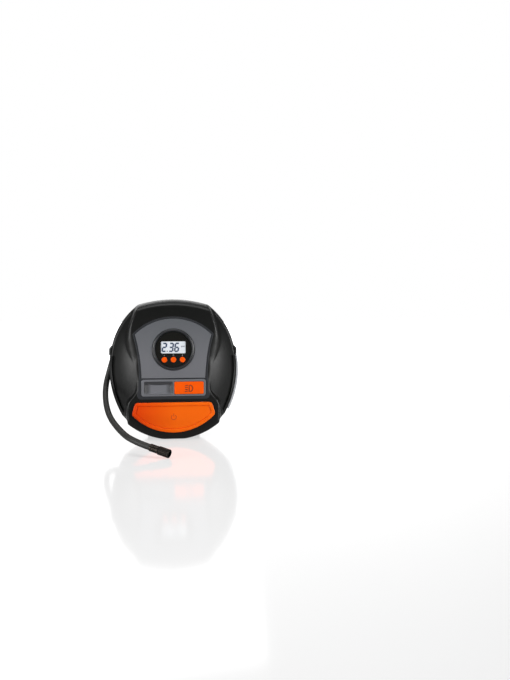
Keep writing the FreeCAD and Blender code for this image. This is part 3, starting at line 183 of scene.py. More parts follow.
# Signs over the round buttons and on the orange keys
INK_LIFT = 0.05
INK_ROOT = 0.15
INK_EDGE = 0.01
SIGN_Z = 109.7
SIGN_HALF = 0.7
SIGN_STROKE = 0.32
MODE_FOOT_Z = SIGN_Z - 0.8
LAMP_SIGN = [
    (20.0, 62.6), (20.0, 71.0), (21.8, 71.0), (23.6, 69.6), (24.7, 66.8), (23.6, 64.0), (21.8, 62.6),
    (20.0, 62.6),
]
LAMP_STROKE = 1.3
BEAM_STROKE = 1.1
BEAM_LEFT = (14.4, -0.4)
BEAM_RIGHT = (18.4, 0.2)
BEAM_HEIGHTS = (63.2, 65.6, 68.0, 70.4)
SWITCH_RING = (0.0, 29.6, 3.2)
SWITCH_SWEEP = (125, 415, 40)
SWITCH_BAR = [(0.0, 30.6), (0.0, 34.4)]
SWITCH_STROKE = 0.9

# Power button
POWER_TOP_Z = 48.7
POWER_TOP_HALF = 49.4
POWER_SIDE = (53.1, 35.0)
POWER_CHIN = (0.0, 82.4, 72.8)
POWER_CORNER = 3.9
POWER_CORNER_OUT = 0.5
POWER_FRONT_Y = -42.0
POWER_RIM = 4.6
POWER_DISH = 0.9
POWER_GROOVE = 0.45
POWER_GAP = 0.35
POWER_BACK_Y = -37.2
POWER_FLOOR_BACK_Y = -37.4
POWER_MIDDLE = (0.0, 32.0)
POWER_WALL = 4.0
POWER_EDGE = 1.0
POWER_FLOOR_EDGE = 0.3
POWER_LINER_EDGE = 0.05

# Screw-on connector at the end of the hose. A chamfer is its fall and its length, and an end
# of the nut is its radius and its chamfer's length.
FERRULE_LENGTH = 11.0
FERRULE_RADIUS = 4.5
FERRULE_BORE = 3.3
FERRULE_CHAMFER = (0.3, 0.4)
FERRULE_STEPS = 48
CRIMP_RADIUS = 4.15
CRIMPS = (2.0, 4.4, 6.8)
CRIMP_WAY = (0.5, 1.0, 1.5)
NUT_RADIUS = 5.1
NUT_BORE = 3.95
NUT_GAP = 0.3
NUT_NEAR_END = (4.8, 0.4)
NUT_FAR_END = (4.7, 0.5)
NUT_PLAIN = 1.2
NUT_RINGS = 12
NUT_STEPS = 144
NUT_FLUTES = 12
FLUTE_DEPTH = 0.07
HOSE_TIP = (-4.9, -150.5, 5.15)

# Hose: the same route as the solid hose follows
HOSE_RADIUS = 3.7
HOSE_ROUTE = [
    (-79.9, -0.5, 104.0), (-84.8, -0.7, 87.0), (-89.6, -8.0, 66.5), (-87.4, -30.0, 47.5),
    (-79.4, -61.0, 33.5), (-65.0, -96.0, 23.8), (-49.2, -128.7, 17.4), (-27.0, -139.7, 11.2),
]

# Camera: level with the top of the inflator, turned and tipped so that it stands left of the middle
CAMERA_PLACE = (0.0, -940.0, 175.0)
CAMERA_TURN = 6.7
CAMERA_TIP = 2.92
CAMERA_LENS = 36.84

# Grain and clouding of moulded plastic in waves per metre, and the height of bumps in metres
GRAIN = 2600.0
CLOUD = 240.0
BUMP_HEIGHT = 0.0001

# Studio: softboxes as name, place and size in metres, and power in watts
STUDIO_MIDDLE = (0.0, 0.0, 0.09)
SOFTBOXES = [
    ("left_softbox", (-1.05, -0.62, 0.25), (0.5, 0.55), 10.5),
    ("right_softbox", (1.05, -0.62, 0.25), (0.5, 0.55), 11.5),
    ("rear_softbox", (-0.3, 1.3, 0.8), (1.2, 0.5), 4.0),
    ("top_softbox", (0.0, -0.1, 1.5), (1.6, 1.0), 14.0),
]
WALL_LIGHT = 0.11
WALL_EDGE = (0.8, 0.95)
FLOOR_HALF = 6.0


def make_camera():
    """The camera at the photograph's place and angle."""
    lens = bpy.data.cameras.new("camera")
    lens.lens = CAMERA_LENS
    camera = bpy.data.objects.new("camera", lens)
    camera.location = Vector(CAMERA_PLACE) * MM
    camera.rotation_euler = (math.radians(90 - CAMERA_TIP), 0, math.radians(-CAMERA_TURN))
    bpy.context.scene.collection.objects.link(camera)
    bpy.context.scene.camera = camera


class Value:
    """One value or colour in a finish, with the operators that become Math nodes."""

    def __init__(self, finish, socket):
        self.finish, self.socket = finish, socket

    def maths(self, operation, first, second=0.5):
        """One Math node; operations of one value leave the second alone."""
        return self.finish.node("Math", {"operation": operation}, {0: first, 1: second})

    def __add__(self, other):
        return self.maths("ADD", self, other)

    def __radd__(self, other):
        return self.maths("ADD", other, self)

    def __sub__(self, other):
        return self.maths("SUBTRACT", self, other)

    def __rsub__(self, other):
        return self.maths("SUBTRACT", other, self)

    def __mul__(self, other):
        return self.maths("MULTIPLY", self, other)

    def __rmul__(self, other):
        return self.maths("MULTIPLY", other, self)

    def __truediv__(self, other):
        return self.maths("DIVIDE", self, other)

    def __rtruediv__(self, other):
        return self.maths("DIVIDE", other, self)

    def size(self):
        return self.maths("ABSOLUTE", self)

    def most(self, other):
        return self.maths("MAXIMUM", self, other)

    def wave(self):
        return self.maths("SINE", self)


class Finish:
    """A procedural material: a Principled shader with fixed sockets and fed ones."""

    def __init__(self, name, **fixed):
        self.material = bpy.data.materials.new(name)
        self.material.use_nodes = True
        self.tree = self.material.node_tree
        self.shader = self.tree.nodes["Principled BSDF"]
        for socket, value in fixed.items():
            self.shader.inputs[socket.replace("_", " ").title().replace("Ior", "IOR")].default_value = value

    def node(self, kind, settings=None, inputs=None, output=0):
        """Add any node: its settings first, then the values or links of its sockets."""
        made = self.tree.nodes.new("ShaderNode" + kind)
        for key, value in (settings or {}).items():
            if key == "stops":
                self.set_stops(made.color_ramp, value)
            else:
                setattr(made, key, value)
        for key, value in (inputs or {}).items():
            self.feed(made.inputs[key], value)
        return Value(self, made.outputs[output])

    def set_stops(self, ramp, stops):
        while len(ramp.elements) < len(stops):
            ramp.elements.new(0.5)
        for element, (place, level) in zip(ramp.elements, stops):
            element.position = place
            element.color = (level, level, level, 1) if isinstance(level, float) else (*level, 1)

    def feed(self, socket, value):
        if isinstance(value, Value):
            self.tree.links.new(value.socket, socket)
        else:
            socket.default_value = value

    def feed_shader(self, **values):
        for name, value in values.items():
            self.feed(self.shader.inputs[name.replace("_", " ").title()], value)

    def place(self):
        """The object's own coordinates."""
        return self.node("TexCoord", output=3)

    def along(self, axis):
        """The place along one axis of the object's own coordinates, in metres."""
        return self.node("SeparateXYZ", {}, {0: self.place()}, output=axis)

    def noise(self, scale, detail=3.0, stretch=None):
        """Noise on the object's own coordinates; scale is in waves per metre."""
        where = self.place()
        if stretch:
            where = self.node("VectorMath", {"operation": "MULTIPLY"}, {0: where, 1: stretch})
        values = {"Vector": where, "Scale": scale, "Detail": detail, "Roughness": 0.5}
        return self.node("TexNoise", {}, values)

    def ramp(self, value, stops):
        return self.node("ValToRGB", {"stops": stops}, {"Fac": value})

    def mix(self, share, first, second):
        """Mix two colours."""
        return self.node("Mix", {"data_type": "RGBA"}, {0: share, 6: first, 7: second}, output=2)

    def bump(self, height, strength, distance=BUMP_HEIGHT):
        return self.node("Bump", {}, {"Height": height, "Strength": strength, "Distance": distance})


def colour(red, green, blue):
    """A screen colour of 0 to 255 as the linear colour that a shader takes."""
    def linear(level):
        level /= 255
        return level / 12.92 if level <= 0.04045 else ((level + 0.055) / 1.055) ** 2.4
    return (linear(red), linear(green), linear(blue), 1.0)


def shade(tone, factor):
    """A tone made darker or lighter by a factor."""
    return (tone[0] * factor, tone[1] * factor, tone[2] * factor, 1.0)


def moulded(name, tone, roughness, grain, mottle=0.12, **fixed):
    """Moulded plastic: spark-eroded grain, faint flow mottling and uneven sheen."""
    finish = Finish(name, **fixed)
    flow = finish.noise(38.0, 4.0, stretch=(1.0, 1.0, 0.45))
    speckle = finish.noise(GRAIN, 2.0)
    cloud = finish.noise(CLOUD, 3.0)
    base = finish.mix(flow, shade(tone, 1 - mottle), shade(tone, 1 + mottle))
    base = finish.mix(finish.ramp(speckle, [(0.35, 0.0), (0.75, 1.0)]) * 0.35, base, shade(tone, 1.25))
    finish.feed_shader(base_color=base, roughness=roughness - 0.05 + cloud * 0.1)
    finish.feed_shader(normal=finish.bump(speckle + cloud * 0.4, grain))
    return finish.material


def painted_light_drift(name, first, second, axis, span, roughness, grain, **fixed):
    """Moulded plastic with painted light: its colour drifts from one tone to another along an axis,
    standing in for uneven studio light.
    """
    finish = Finish(name, **fixed)
    start, end = span[0] * MM, span[1] * MM
    share = finish.ramp((finish.along(axis) - start) / (end - start), [(0.0, 0.0), (1.0, 1.0)])
    speckle = finish.noise(GRAIN, 2.0)
    cloud = finish.noise(CLOUD, 3.0)
    base = finish.mix(cloud * 0.1, finish.mix(share, first, second), shade(first, 1.15))
    finish.feed_shader(base_color=base, roughness=roughness - 0.05 + cloud * 0.1)
    finish.feed_shader(normal=finish.bump(speckle + cloud * 0.4, grain))
    return finish.material


def metal(name, tone, roughness, brushed):
    """Drawn or cast metal with a directional brushing."""
    finish = Finish(name, metallic=1.0)
    streaks = finish.noise(900.0, 3.0, stretch=brushed)
    cloud = finish.noise(120.0, 3.0)
    finish.feed_shader(base_color=finish.mix(cloud, shade(tone, 0.85), tone))
    finish.feed_shader(roughness=roughness + (streaks - 0.5) * 0.16)
    finish.feed_shader(normal=finish.bump(streaks, 0.15))
    return finish.material


def rubber(name, tone):
    """Extruded rubber with a dull bloom and fine pores."""
    finish = Finish(name)
    bloom = finish.noise(70.0, 4.0)
    pores = finish.noise(3200.0, 2.0)
    finish.feed_shader(base_color=finish.mix(bloom, shade(tone, 0.8), shade(tone, 1.3)))
    finish.feed_shader(roughness=0.5 + bloom * 0.14, normal=finish.bump(pores, 0.16))
    return finish.material


def glossy_black():
    """The smooth black disc of the gauge, printed from behind."""
    finish = Finish("gauge_black", specular_ior_level=0.3, coat_weight=0.12, coat_roughness=0.06)
    haze = finish.noise(300.0, 3.0)
    finish.feed_shader(base_color=finish.mix(haze, colour(13, 13, 9), colour(19, 19, 15)))
    finish.feed_shader(roughness=0.16 + haze * 0.08)
    return finish.material


def display_pane():
    """The pale liquid-crystal pane, a little darker towards its edges."""
    finish = Finish("display_pane", coat_weight=0.3, coat_roughness=0.05)
    across = finish.along(0).size() / (DISPLAY[1] * MM)
    film = finish.noise(900.0, 2.0)
    edge = finish.ramp(across, [(0.75, 0.0), (1.0, 1.0)])
    tone = finish.mix(edge * 0.5 + film * 0.2, colour(228, 233, 238), colour(196, 206, 216))
    finish.feed_shader(base_color=tone, roughness=0.3)
    finish.feed_shader(emission_color=tone)
    finish.shader.inputs["Emission Strength"].default_value = 0.12
    return finish.material


def frosted_lens():
    """The milky polycarbonate of the side lamp, with fine level flutes inside."""
    finish = Finish("lamp_frost", transmission_weight=0.15)
    flutes = (finish.along(2) * 2400.0).wave() * 0.5 + 0.5
    haze = finish.noise(160.0, 3.0)
    finish.feed_shader(base_color=finish.mix(haze, colour(214, 217, 222), colour(232, 234, 238)))
    finish.feed_shader(roughness=0.32 + haze * 0.1, normal=finish.bump(flutes, 0.12, 0.0003))
    return finish.material


def scooped_grey_painted_shade(tone):
    """The grey key with painted shade: its scoop is painted darker towards both ends and under its upper
    lip, where shade falls, and lighter between.
    """
    finish = Finish("scooped_key_painted_shade")
    x0, x1, z0, z1 = (edge * MM for edge in LEFT_KEY)
    across = (finish.along(0) - (x0 + x1) / 2).size() / ((x1 - x0) / 2)
    rise = (finish.along(2) - z0) / (z1 - z0)
    ends = finish.ramp(across, [(0.5, 0.0), (0.82, 1.0)])
    foot = finish.ramp(rise, [(0.05, 0.0), (0.12, 1.0)])
    lip = finish.ramp(rise - across * across * 0.14, [(0.72, 0.0), (0.8, 1.0)])
    speckle = finish.noise(GRAIN, 2.0)
    # Painted shade and highlight: the scoop's ends and the band under its lip take the tone at 0.19, the
    # rest at 1.3 times the tone.
    base = finish.mix((ends * foot).most(lip), shade(tone, 1.3), shade(tone, 0.19))
    base = finish.mix(speckle * 0.2, base, shade(tone, 0.8))
    finish.feed_shader(base_color=base, roughness=0.4 + speckle * 0.1)
    finish.feed_shader(normal=finish.bump(speckle, 0.14))
    return finish.material


def circuit_board():
    """Green board with faint copper tracks under the lacquer."""
    finish = Finish("circuit_board", coat_weight=0.3)
    where = {"Vector": finish.place(), "Scale": 260.0, "Mortar Size": 0.03}
    tracks = finish.node("TexBrick", {}, where, output=1)
    patches = finish.noise(90.0, 2.0)
    base = finish.mix(tracks * 0.4 + patches * 0.2, colour(18, 84, 48), colour(60, 130, 80))
    finish.feed_shader(base_color=base)
    finish.feed_shader(roughness=0.4 + patches * 0.1)
    return finish.material


def painted_mark(name, tone):
    """Printed or laser-marked ink, slightly uneven."""
    finish = Finish(name)
    print_grain = finish.noise(4000.0, 2.0)
    finish.feed_shader(base_color=finish.mix(print_grain, shade(tone, 0.88), shade(tone, 1.08)))
    finish.feed_shader(roughness=0.5 + print_grain * 0.1)
    return finish.material


ORANGE = (0.98, 0.105, 0.0, 1.0)
# Painted light on the power button: a darker, redder orange at its left and a lighter, yellower orange at
# its right, as if lit more from the right.
POWER_SHADED_LEFT = (0.84, 0.062, 0.0, 1.0)
POWER_LIT_RIGHT = (1.0, 0.15, 0.002, 1.0)
# Painted shade on the upper grey plate: the lighter grey at its foot darkens to the other grey towards its
# top.
PLATE_LIT_AND_SHADED_GREYS = (colour(111, 112, 117), colour(92, 95, 99))
finishes = {
    "black_plastic": moulded("black_shell_plastic", colour(14, 15, 14), 0.4, 0.14,
                             specular_ior_level=0.28),
    "dark_plastic": moulded("dark_border_plastic", colour(40, 42, 46), 0.42, 0.14),
    "bezel_dark": moulded("gauge_bezel_plastic", colour(31, 33, 36), 0.44, 0.14),
    "grey_plastic": moulded("grey_plate_plastic", colour(110, 111, 116), 0.46, 0.16, mottle=0.05),
    "plate_grey_painted_shade": painted_light_drift("upper_plate_painted_shade", *PLATE_LIT_AND_SHADED_GREYS, 2, (104.0, 158.0), 0.46, 0.16),
    "scooped_grey_painted_shade": scooped_grey_painted_shade(colour(107, 108, 113)),
    "orange_plastic": moulded("orange_button_plastic", ORANGE, 0.36, 0.1, mottle=0.04,
                              specular_ior_level=0.22),
    "power_orange_painted_light": painted_light_drift("power_button_painted_light", POWER_SHADED_LEFT, POWER_LIT_RIGHT, 0, (-46.0, 4.0), 0.36, 0.1,
                             specular_ior_level=0.22),
    "gloss_black": glossy_black(),
    "display_glass": display_pane(),
    "frosted_lens": frosted_lens(),
    "board": circuit_board(),
    "chip": moulded("chip_epoxy", colour(34, 34, 34), 0.5, 0.1),
    "steel": metal("zinc_plated_steel", (0.56, 0.56, 0.58, 1.0), 0.34, (1.0, 1.0, 8.0)),
    "brass": metal("turned_brass", (0.66, 0.48, 0.22, 1.0), 0.28, (1.0, 6.0, 1.0)),
    "aluminium": metal("cast_aluminium", (0.62, 0.63, 0.65, 1.0), 0.45, (1.0, 1.0, 1.0)),
    "dark_metal": metal("blackened_brass", (0.042, 0.035, 0.030, 1.0), 0.36, (1.0, 6.0, 1.0)),
    "nut_metal": metal("nut_black_brass", (0.024, 0.020, 0.018, 1.0), 0.44, (1.0, 6.0, 1.0)),
    "nylon": moulded("gear_nylon", colour(222, 219, 208), 0.45, 0.08, mottle=0.04),
    "rubber": rubber("hose_rubber", colour(30, 30, 27)),
    "display_ink": painted_mark("display_ink", colour(30, 56, 92)),
    "white_ink": painted_mark("white_ink", colour(190, 192, 192)),
    "sign_orange": painted_mark("sign_orange", colour(206, 66, 0)),
    "sign_brown": painted_mark("sign_brown", colour(122, 44, 6)),
}


def dress_nodes():
    """Give every solid that still shows the finish of its own slot."""
    for part in frame["record"]["subparts"]:
        materials = nodes[part["node"]].data.materials
        materials.clear()
        materials.append(finishes[part["material_slot"]])


def reach(ring, z):
    """How far a circle of the front view reaches to the right at height z."""
    return ring[0] + math.sqrt(max(ring[2] ** 2 - (z - ring[1]) ** 2, 0.0))


def depth_inside(ring, x, z):
    """How far a place of the front view lies inside a circle; negative outside it."""
    return ring[2] - math.hypot(x - ring[0], z - ring[1])


def ring_through(first, second, third):
    """The circle through three points of the front view."""
    (ax, az), (bx, bz), (cx, cz) = first, second, third
    twice = 2 * (ax * (bz - cz) + bx * (cz - az) + cx * (az - bz))
    a2, b2, c2 = ax * ax + az * az, bx * bx + bz * bz, cx * cx + cz * cz
    x = (a2 * (bz - cz) + b2 * (cz - az) + c2 * (az - bz)) / twice
    z = (a2 * (cx - bx) + b2 * (ax - cx) + c2 * (bx - ax)) / twice
    return (x, z, math.hypot(ax - x, az - z))


def far_edge(inside, centre, angle):
    """The way from a centre to the edge of a shape in one direction, found by halving."""
    near, far = 0.0, BODY_REACH
    for _ in range(HALVINGS):
        middle = (near + far) / 2
        if inside(centre[0] + middle * math.cos(angle), centre[1] + middle * math.sin(angle)):
            near = middle
        else:
            far = middle
    return near


def in_outline(x, z):
    """Whether a place of the front view lies in the body."""
    half = reach(SIDE_ARC if z > HORN_ROOT_Z else RIM_ARC, z)
    if HORN_FOOT_Z < z < HORN_ROOT_Z:
        fall = max(z - HORN_TOP_Z, 0.0) / (HORN_ROOT_Z - HORN_TOP_Z)
        half = HORN_REACH + (reach(SIDE_ARC, HORN_ROOT_Z) - HORN_REACH) * fall
    above_chin = z > CHIN_ARC[1] or depth_inside(CHIN_ARC, x, z) > 0
    return z > 0 and abs(x) < half and depth_inside(TOP_ARC, x, z) > 0 and above_chin


def in_power(x, z, gap=0.0):
    """Whether a place of the front view lies in the power button, grown by a gap."""
    lean = (POWER_SIDE[0] - POWER_TOP_HALF) / (POWER_TOP_Z - POWER_SIDE[1])
    half = min(POWER_TOP_HALF + (POWER_TOP_Z - z) * lean, POWER_SIDE[0]) + gap
    top = POWER_TOP_Z + gap
    corner_x = POWER_TOP_HALF - POWER_CORNER + POWER_CORNER_OUT
    corner_z = POWER_TOP_Z - POWER_CORNER
    if abs(x) > corner_x and z > corner_z:
        return math.hypot(abs(x) - corner_x, z - corner_z) < POWER_CORNER + gap
    return z < top and abs(x) < half and depth_inside(POWER_CHIN, x, z) > -gap


def block_edge(z):
    """Half the width of the raised block's foot at height z, smooth through its listed widths."""
    runs = zip(BLOCK_SIDE, BLOCK_SIDE[1:], BLOCK_SIDE[2:], BLOCK_SIDE[3:])
    for (z0, x0), (z1, x1), (z2, x2), (z3, x3) in runs:
        if z <= z2:
            t = min(max((z - z1) / (z2 - z1), 0.0), 1.0)
            before, after = (x2 - x0) / (z2 - z0) * (z2 - z1), (x3 - x1) / (z3 - z1) * (z2 - z1)
            rise = t * t * (3 - 2 * t)
            return x1 + (x2 - x1) * rise + before * t * (1 - t) ** 2 - after * t * t * (1 - t)
    return BLOCK_SIDE[-2][1]


def rounded_fall(inside, shoulder):
    """How far a rounded edge has fallen below the face; the shoulder is its width and depth."""
    width, depth = shoulder
    share = min(max(1 - inside / width, 0.0), 1.0)
    return depth * (1 - math.sqrt(1 - share ** 2)) + max(-inside, 0.0) * SHOULDER_DRAFT


def eased(value, start, end):
    """A share from 0 to 1 that rises smoothly as a value goes from start to end."""
    share = min(max((value - start) / (end - start), 0.0), 1.0)
    return share * share * (3 - 2 * share)


def block_fall(x, z):
    """How far the raised block lies below the face at a place of the front view."""
    start, full, fading, end = SHOULDER_HEIGHTS
    share = eased(z, start, full) * eased(z, end, fading)
    shoulder = [foot + (flank - foot) * share for foot, flank in zip(FOOT_SHOULDER, FLANK_SHOULDER)]
    side = rounded_fall((block_edge(z) - abs(x)) * FLANK_LEAN, shoulder)
    from_top = depth_inside(TOP_ARC, x, z)
    crown = rounded_fall(from_top, CROWN_SHOULDER)
    crown += CROWN_SLOPE[1] * max(1 - from_top / CROWN_SLOPE[0], 0.0) ** 2
    chin = 0.0
    if z < CHIN_ARC[1]:
        inside = min(depth_inside(CHIN_ARC, x, z) + CHIN_OUT, z - FOOT_CLEAR)
        chin = rounded_fall(inside, CHIN_SHOULDER)
    return sum(fall ** SHOULDER_POWER for fall in (side, crown, chin)) ** (1 / SHOULDER_POWER)


def wing_fall(x, z, from_rim):
    """How far the domed wing and its rim bead lie below the face."""
    rise = (z - WING_CENTRE_Z) * (WING_BARREL_ABOVE if z > WING_CENTRE_Z else WING_BARREL_BELOW)
    fall = -FACE_Y - math.sqrt(max(WING_RADIUS ** 2 - x * x - rise ** 2, 0.0)) + WING_CENTRE_Y
    if fall < DOME_BLEND:
        fall = max(fall + DOME_BLEND, 0.0) ** 2 / (4 * DOME_BLEND)
    place, width, share = BEAD_GROOVE
    bead = min(from_rim / BEAD_TOP, 1.0) * eased(from_rim, BEAD_END, BEAD_TOP)
    bead -= share * math.exp(-((from_rim - place) / width) ** 2)
    below_horn = eased(z, HORN_FOOT_Z + HORN_FADE, HORN_FOOT_Z - HORN_FADE)
    return min(fall, -FACE_Y - RIM_FORWARD) - BEAD_HEIGHT * bead * below_horn


def face_forward(x, z, from_rim):
    """The shell's height in front of the middle plane: block and wings with a soft crease."""
    falls = (max(block_fall(x, z), LEAST_FALL), max(wing_fall(x, z, from_rim), LEAST_FALL))
    return -FACE_Y - sum(fall ** -CREASE_POWER for fall in falls) ** (-1 / CREASE_POWER)


def shell_rings():
    """Each ring of the front shell: share of the way out, inset from the rim, drop and depth."""
    rings = [(i / SHELL_RINGS, RIM_ROUND, 0.0, None) for i in range(SHELL_RINGS + 1)]
    for step in range(1, ROUND_STEPS + 1):
        turn = math.radians(90 * step / ROUND_STEPS)
        rings.append((1.0, RIM_ROUND * (1 - math.sin(turn)), RIM_ROUND * (1 - math.cos(turn)), None))
    rings += [(1.0, 0.0, 0.0, FRONT_SPLIT_Y - ahead) for ahead in SKIRT_STEPS]
    return rings + [(1.0, inset, 0.0, FRONT_SPLIT_Y) for inset in RETURN_STEPS]


def make_front_skin():
    """The domed front shell, laid out in rings from the middle of the face over the rim."""
    rings = shell_rings()
    turns = [2 * math.pi * i / SHELL_TURNS for i in range(SHELL_TURNS + 1)]
    reaches = [far_edge(in_outline, BODY_MIDDLE, turn) for turn in turns]
    bm = bmesh.new()
    bmesh.ops.create_grid(bm, x_segments=SHELL_TURNS, y_segments=len(rings) - 1, size=1)
    for vert in bm.verts:
        index = round((vert.co.x + 1) / 2 * SHELL_TURNS)
        share, inset, drop, depth = rings[round((vert.co.y + 1) / 2 * (len(rings) - 1))]
        out = (reaches[index] - inset) * share
        x = BODY_MIDDLE[0] + out * math.cos(turns[index])
        z = BODY_MIDDLE[1] + out * math.sin(turns[index])
        y = depth if depth is not None else drop - face_forward(x, z, reaches[index] - out)
        vert.co = (x, y, z)
    bmesh.ops.remove_doubles(bm, verts=bm.verts[:], dist=0.001)
    open_power_hole(bm)
    hidden = [face for face in bm.faces if in_frame(*middle_of(face), HIDDEN_INSET)]
    bmesh.ops.delete(bm, geom=hidden, context="FACES")
    bmesh.ops.recalc_face_normals(bm, faces=bm.faces[:])
    return bm


def middle_of(face):
    """The middle of a mesh face in the front view; one of the shell's side counts as far below."""
    centre = face.calc_center_median()
    return (centre.x, centre.z) if centre.y < SIDE_START_Y else FAR_BELOW


def in_frame(x, z, inset):
    """Whether a place of the face lies under the border frame, inside its edge by an inset."""
    ring = ring_through(*FRAME_SIDE)
    side = math.hypot(abs(x) - ring[0], z - ring[1]) - ring[2]
    return z > FRAME_FOOT_Z + inset and side > inset and depth_inside(FRAME_TOP, x, z) > inset


def open_power_hole(bm):
    """Cut the power button's opening, draw its edge to the outline and give it a wall."""
    gone = [face for face in bm.faces if in_power(*middle_of(face), POWER_GAP)]
    bmesh.ops.delete(bm, geom=gone, context="FACES")
    rim = [edge for edge in bm.edges if edge.is_boundary and edge.verts[0].co.y < SIDE_START_Y]
    across, up = POWER_MIDDLE
    for vert in {vert for edge in rim for vert in edge.verts}:
        angle = math.atan2(vert.co.z - up, vert.co.x - across)
        out = far_edge(lambda x, z: in_power(x, z, POWER_GAP), POWER_MIDDLE, angle)
        vert.co.x, vert.co.z = across + out * math.cos(angle), up + out * math.sin(angle)
    wall = bmesh.ops.extrude_edge_only(bm, edges=rim)
    inner = [item for item in wall["geom"] if isinstance(item, bmesh.types.BMVert)]
    bmesh.ops.translate(bm, verts=inner, vec=(0, POWER_WALL, 0))


def finished(bm_or_mesh, name, finish, body, replaced=None, crease=30.0):
    """Bring a shape to metres, give it its finish and hand it to its body."""
    if isinstance(bm_or_mesh, bmesh.types.BMesh):
        mesh = bpy.data.meshes.new(name)
        bm_or_mesh.to_mesh(mesh)
        bm_or_mesh.free()
        mesh.transform(Matrix.Scale(MM, 4))
    else:
        mesh = bm_or_mesh
    mesh.name = name
    mesh.materials.clear()
    mesh.materials.append(finishes[finish])
    mesh.shade_smooth()
    mesh.set_sharp_from_angle(angle=math.radians(crease))
    piece = bpy.data.objects.new(name, mesh)
    bpy.context.scene.collection.objects.link(piece)
    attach(piece, body)
    if replaced:
        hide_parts(replaced)


def arc_points(ring, first, last, steps):
    """Points along a circle of the front view between two directions in degrees."""
    angles = [math.radians(first + (last - first) * i / steps) for i in range(steps + 1)]
    return [(ring[0] + ring[2] * math.cos(a), ring[1] + ring[2] * math.sin(a)) for a in angles]


def circle(x, z, radius, steps=120):
    """A whole circle of the front view."""
    return arc_points((x, z, radius), 0, 360 - 360 / steps, steps - 1)


def round_box(x0, x1, z0, z1, corner):
    """A rectangle with rounded corners in the front view."""
    points = []
    for x, z, first in ((x1, z1, 0), (x0, z1, 90), (x0, z0, 180), (x1, z0, 270)):
        cx = x - corner if x == x1 else x + corner
        cz = z - corner if z == z1 else z + corner
        points += arc_points((cx, cz, corner), first, first + 90, CORNER_STEPS)
    return points


def grown(bounds, gap):
    """A rectangle's bounds pushed out by a gap on every side."""
    return (bounds[0] - gap, bounds[1] + gap, bounds[2] - gap, bounds[3] + gap)


def polar_outline(inside, centre):
    """The outline of a shape, found in every direction from a centre."""
    turns = [2 * math.pi * i / OUTLINE_STEPS for i in range(OUTLINE_STEPS)]
    outs = [far_edge(inside, centre, turn) for turn in turns]
    return [(centre[0] + out * math.cos(t), centre[1] + out * math.sin(t)) for out, t in zip(outs, turns)]


def plate_outline(top, sides, foot_z, corner, inset=0.0):
    """A plate with a domed top, hollow sides and a straight foot."""
    ring = ring_through(*sides)
    low, high = foot_z + inset + corner, sides[0][1]
    heights = [low + (high - low) * i / SIDE_STEPS for i in range(SIDE_STEPS + 1)]
    right = [(ring[0] - math.sqrt(ring[2] ** 2 - (z - ring[1]) ** 2) - inset, z) for z in heights]
    arch = [(-x, z) for x, z in right]
    across = [right[-1][0] * (1 - 2 * i / CROWN_STEPS) for i in range(1, CROWN_STEPS)]
    crown = [(x, top[1] + math.sqrt((top[2] - inset) ** 2 - x * x)) for x in across]
    foot = right[0][0]
    turn = arc_points((foot - corner, low, corner), 270, 360, FOOT_STEPS)[:-1] if corner else []
    left_turn = [(-x, z) for x, z in reversed(turn)]
    return right + crown + arch[::-1] + left_turn + turn


def slab(outlines, front_y, back_y, edge):
    """A plate from closed outlines, the first with the others as holes, with rounded edges."""
    curve = bpy.data.curves.new("outline", "CURVE")
    curve.dimensions = "2D"
    curve.fill_mode = "BOTH"
    for points in outlines:
        spline = curve.splines.new("POLY")
        spline.points.add(len(points) - 1)
        for knot, (x, z) in zip(spline.points, points):
            knot.co = (x, z, 0, 1)
        spline.use_cyclic_u = True
    thick = back_y - front_y
    curve.bevel_depth = edge
    curve.bevel_resolution = 3
    curve.offset = -edge
    curve.extrude = thick / 2 - edge
    flat = bpy.data.objects.new("outline", curve)
    mesh = bpy.data.meshes.new_from_object(flat)
    bpy.data.objects.remove(flat)
    bpy.data.curves.remove(curve)
    upright = Matrix.Translation((0, (front_y + back_y) / 2, 0)) @ Matrix.Rotation(math.pi / 2, 4, "X")
    mesh.transform(Matrix.Scale(MM, 4) @ upright)
    return mesh


def joined(meshes):
    """Several meshes as one."""
    bm = bmesh.new()
    for mesh in meshes:
        bm.from_mesh(mesh)
    whole = bpy.data.meshes.new("joined")
    bm.to_mesh(whole)
    bm.free()
    return whole


def spun(profile, steps=96):
    """A closed profile of radius and y turned about the Y axis."""
    bm = bmesh.new()
    verts = [bm.verts.new((radius, y, 0)) for radius, y in profile]
    edges = [bm.edges.new(pair) for pair in zip(verts, verts[1:] + verts[:1])]
    bmesh.ops.spin(bm, geom=verts + edges, cent=(0, 0, 0), axis=(0, 1, 0), angle=2 * math.pi,
                   steps=steps, use_merge=True)
    bmesh.ops.remove_doubles(bm, verts=bm.verts[:], dist=0.0005)
    bmesh.ops.recalc_face_normals(bm, faces=bm.faces[:])
    return bm


def moved(bm, x, y, z):
    """A shape moved by a way along each axis."""
    bmesh.ops.translate(bm, verts=bm.verts[:], vec=(x, y, z))
    return bm


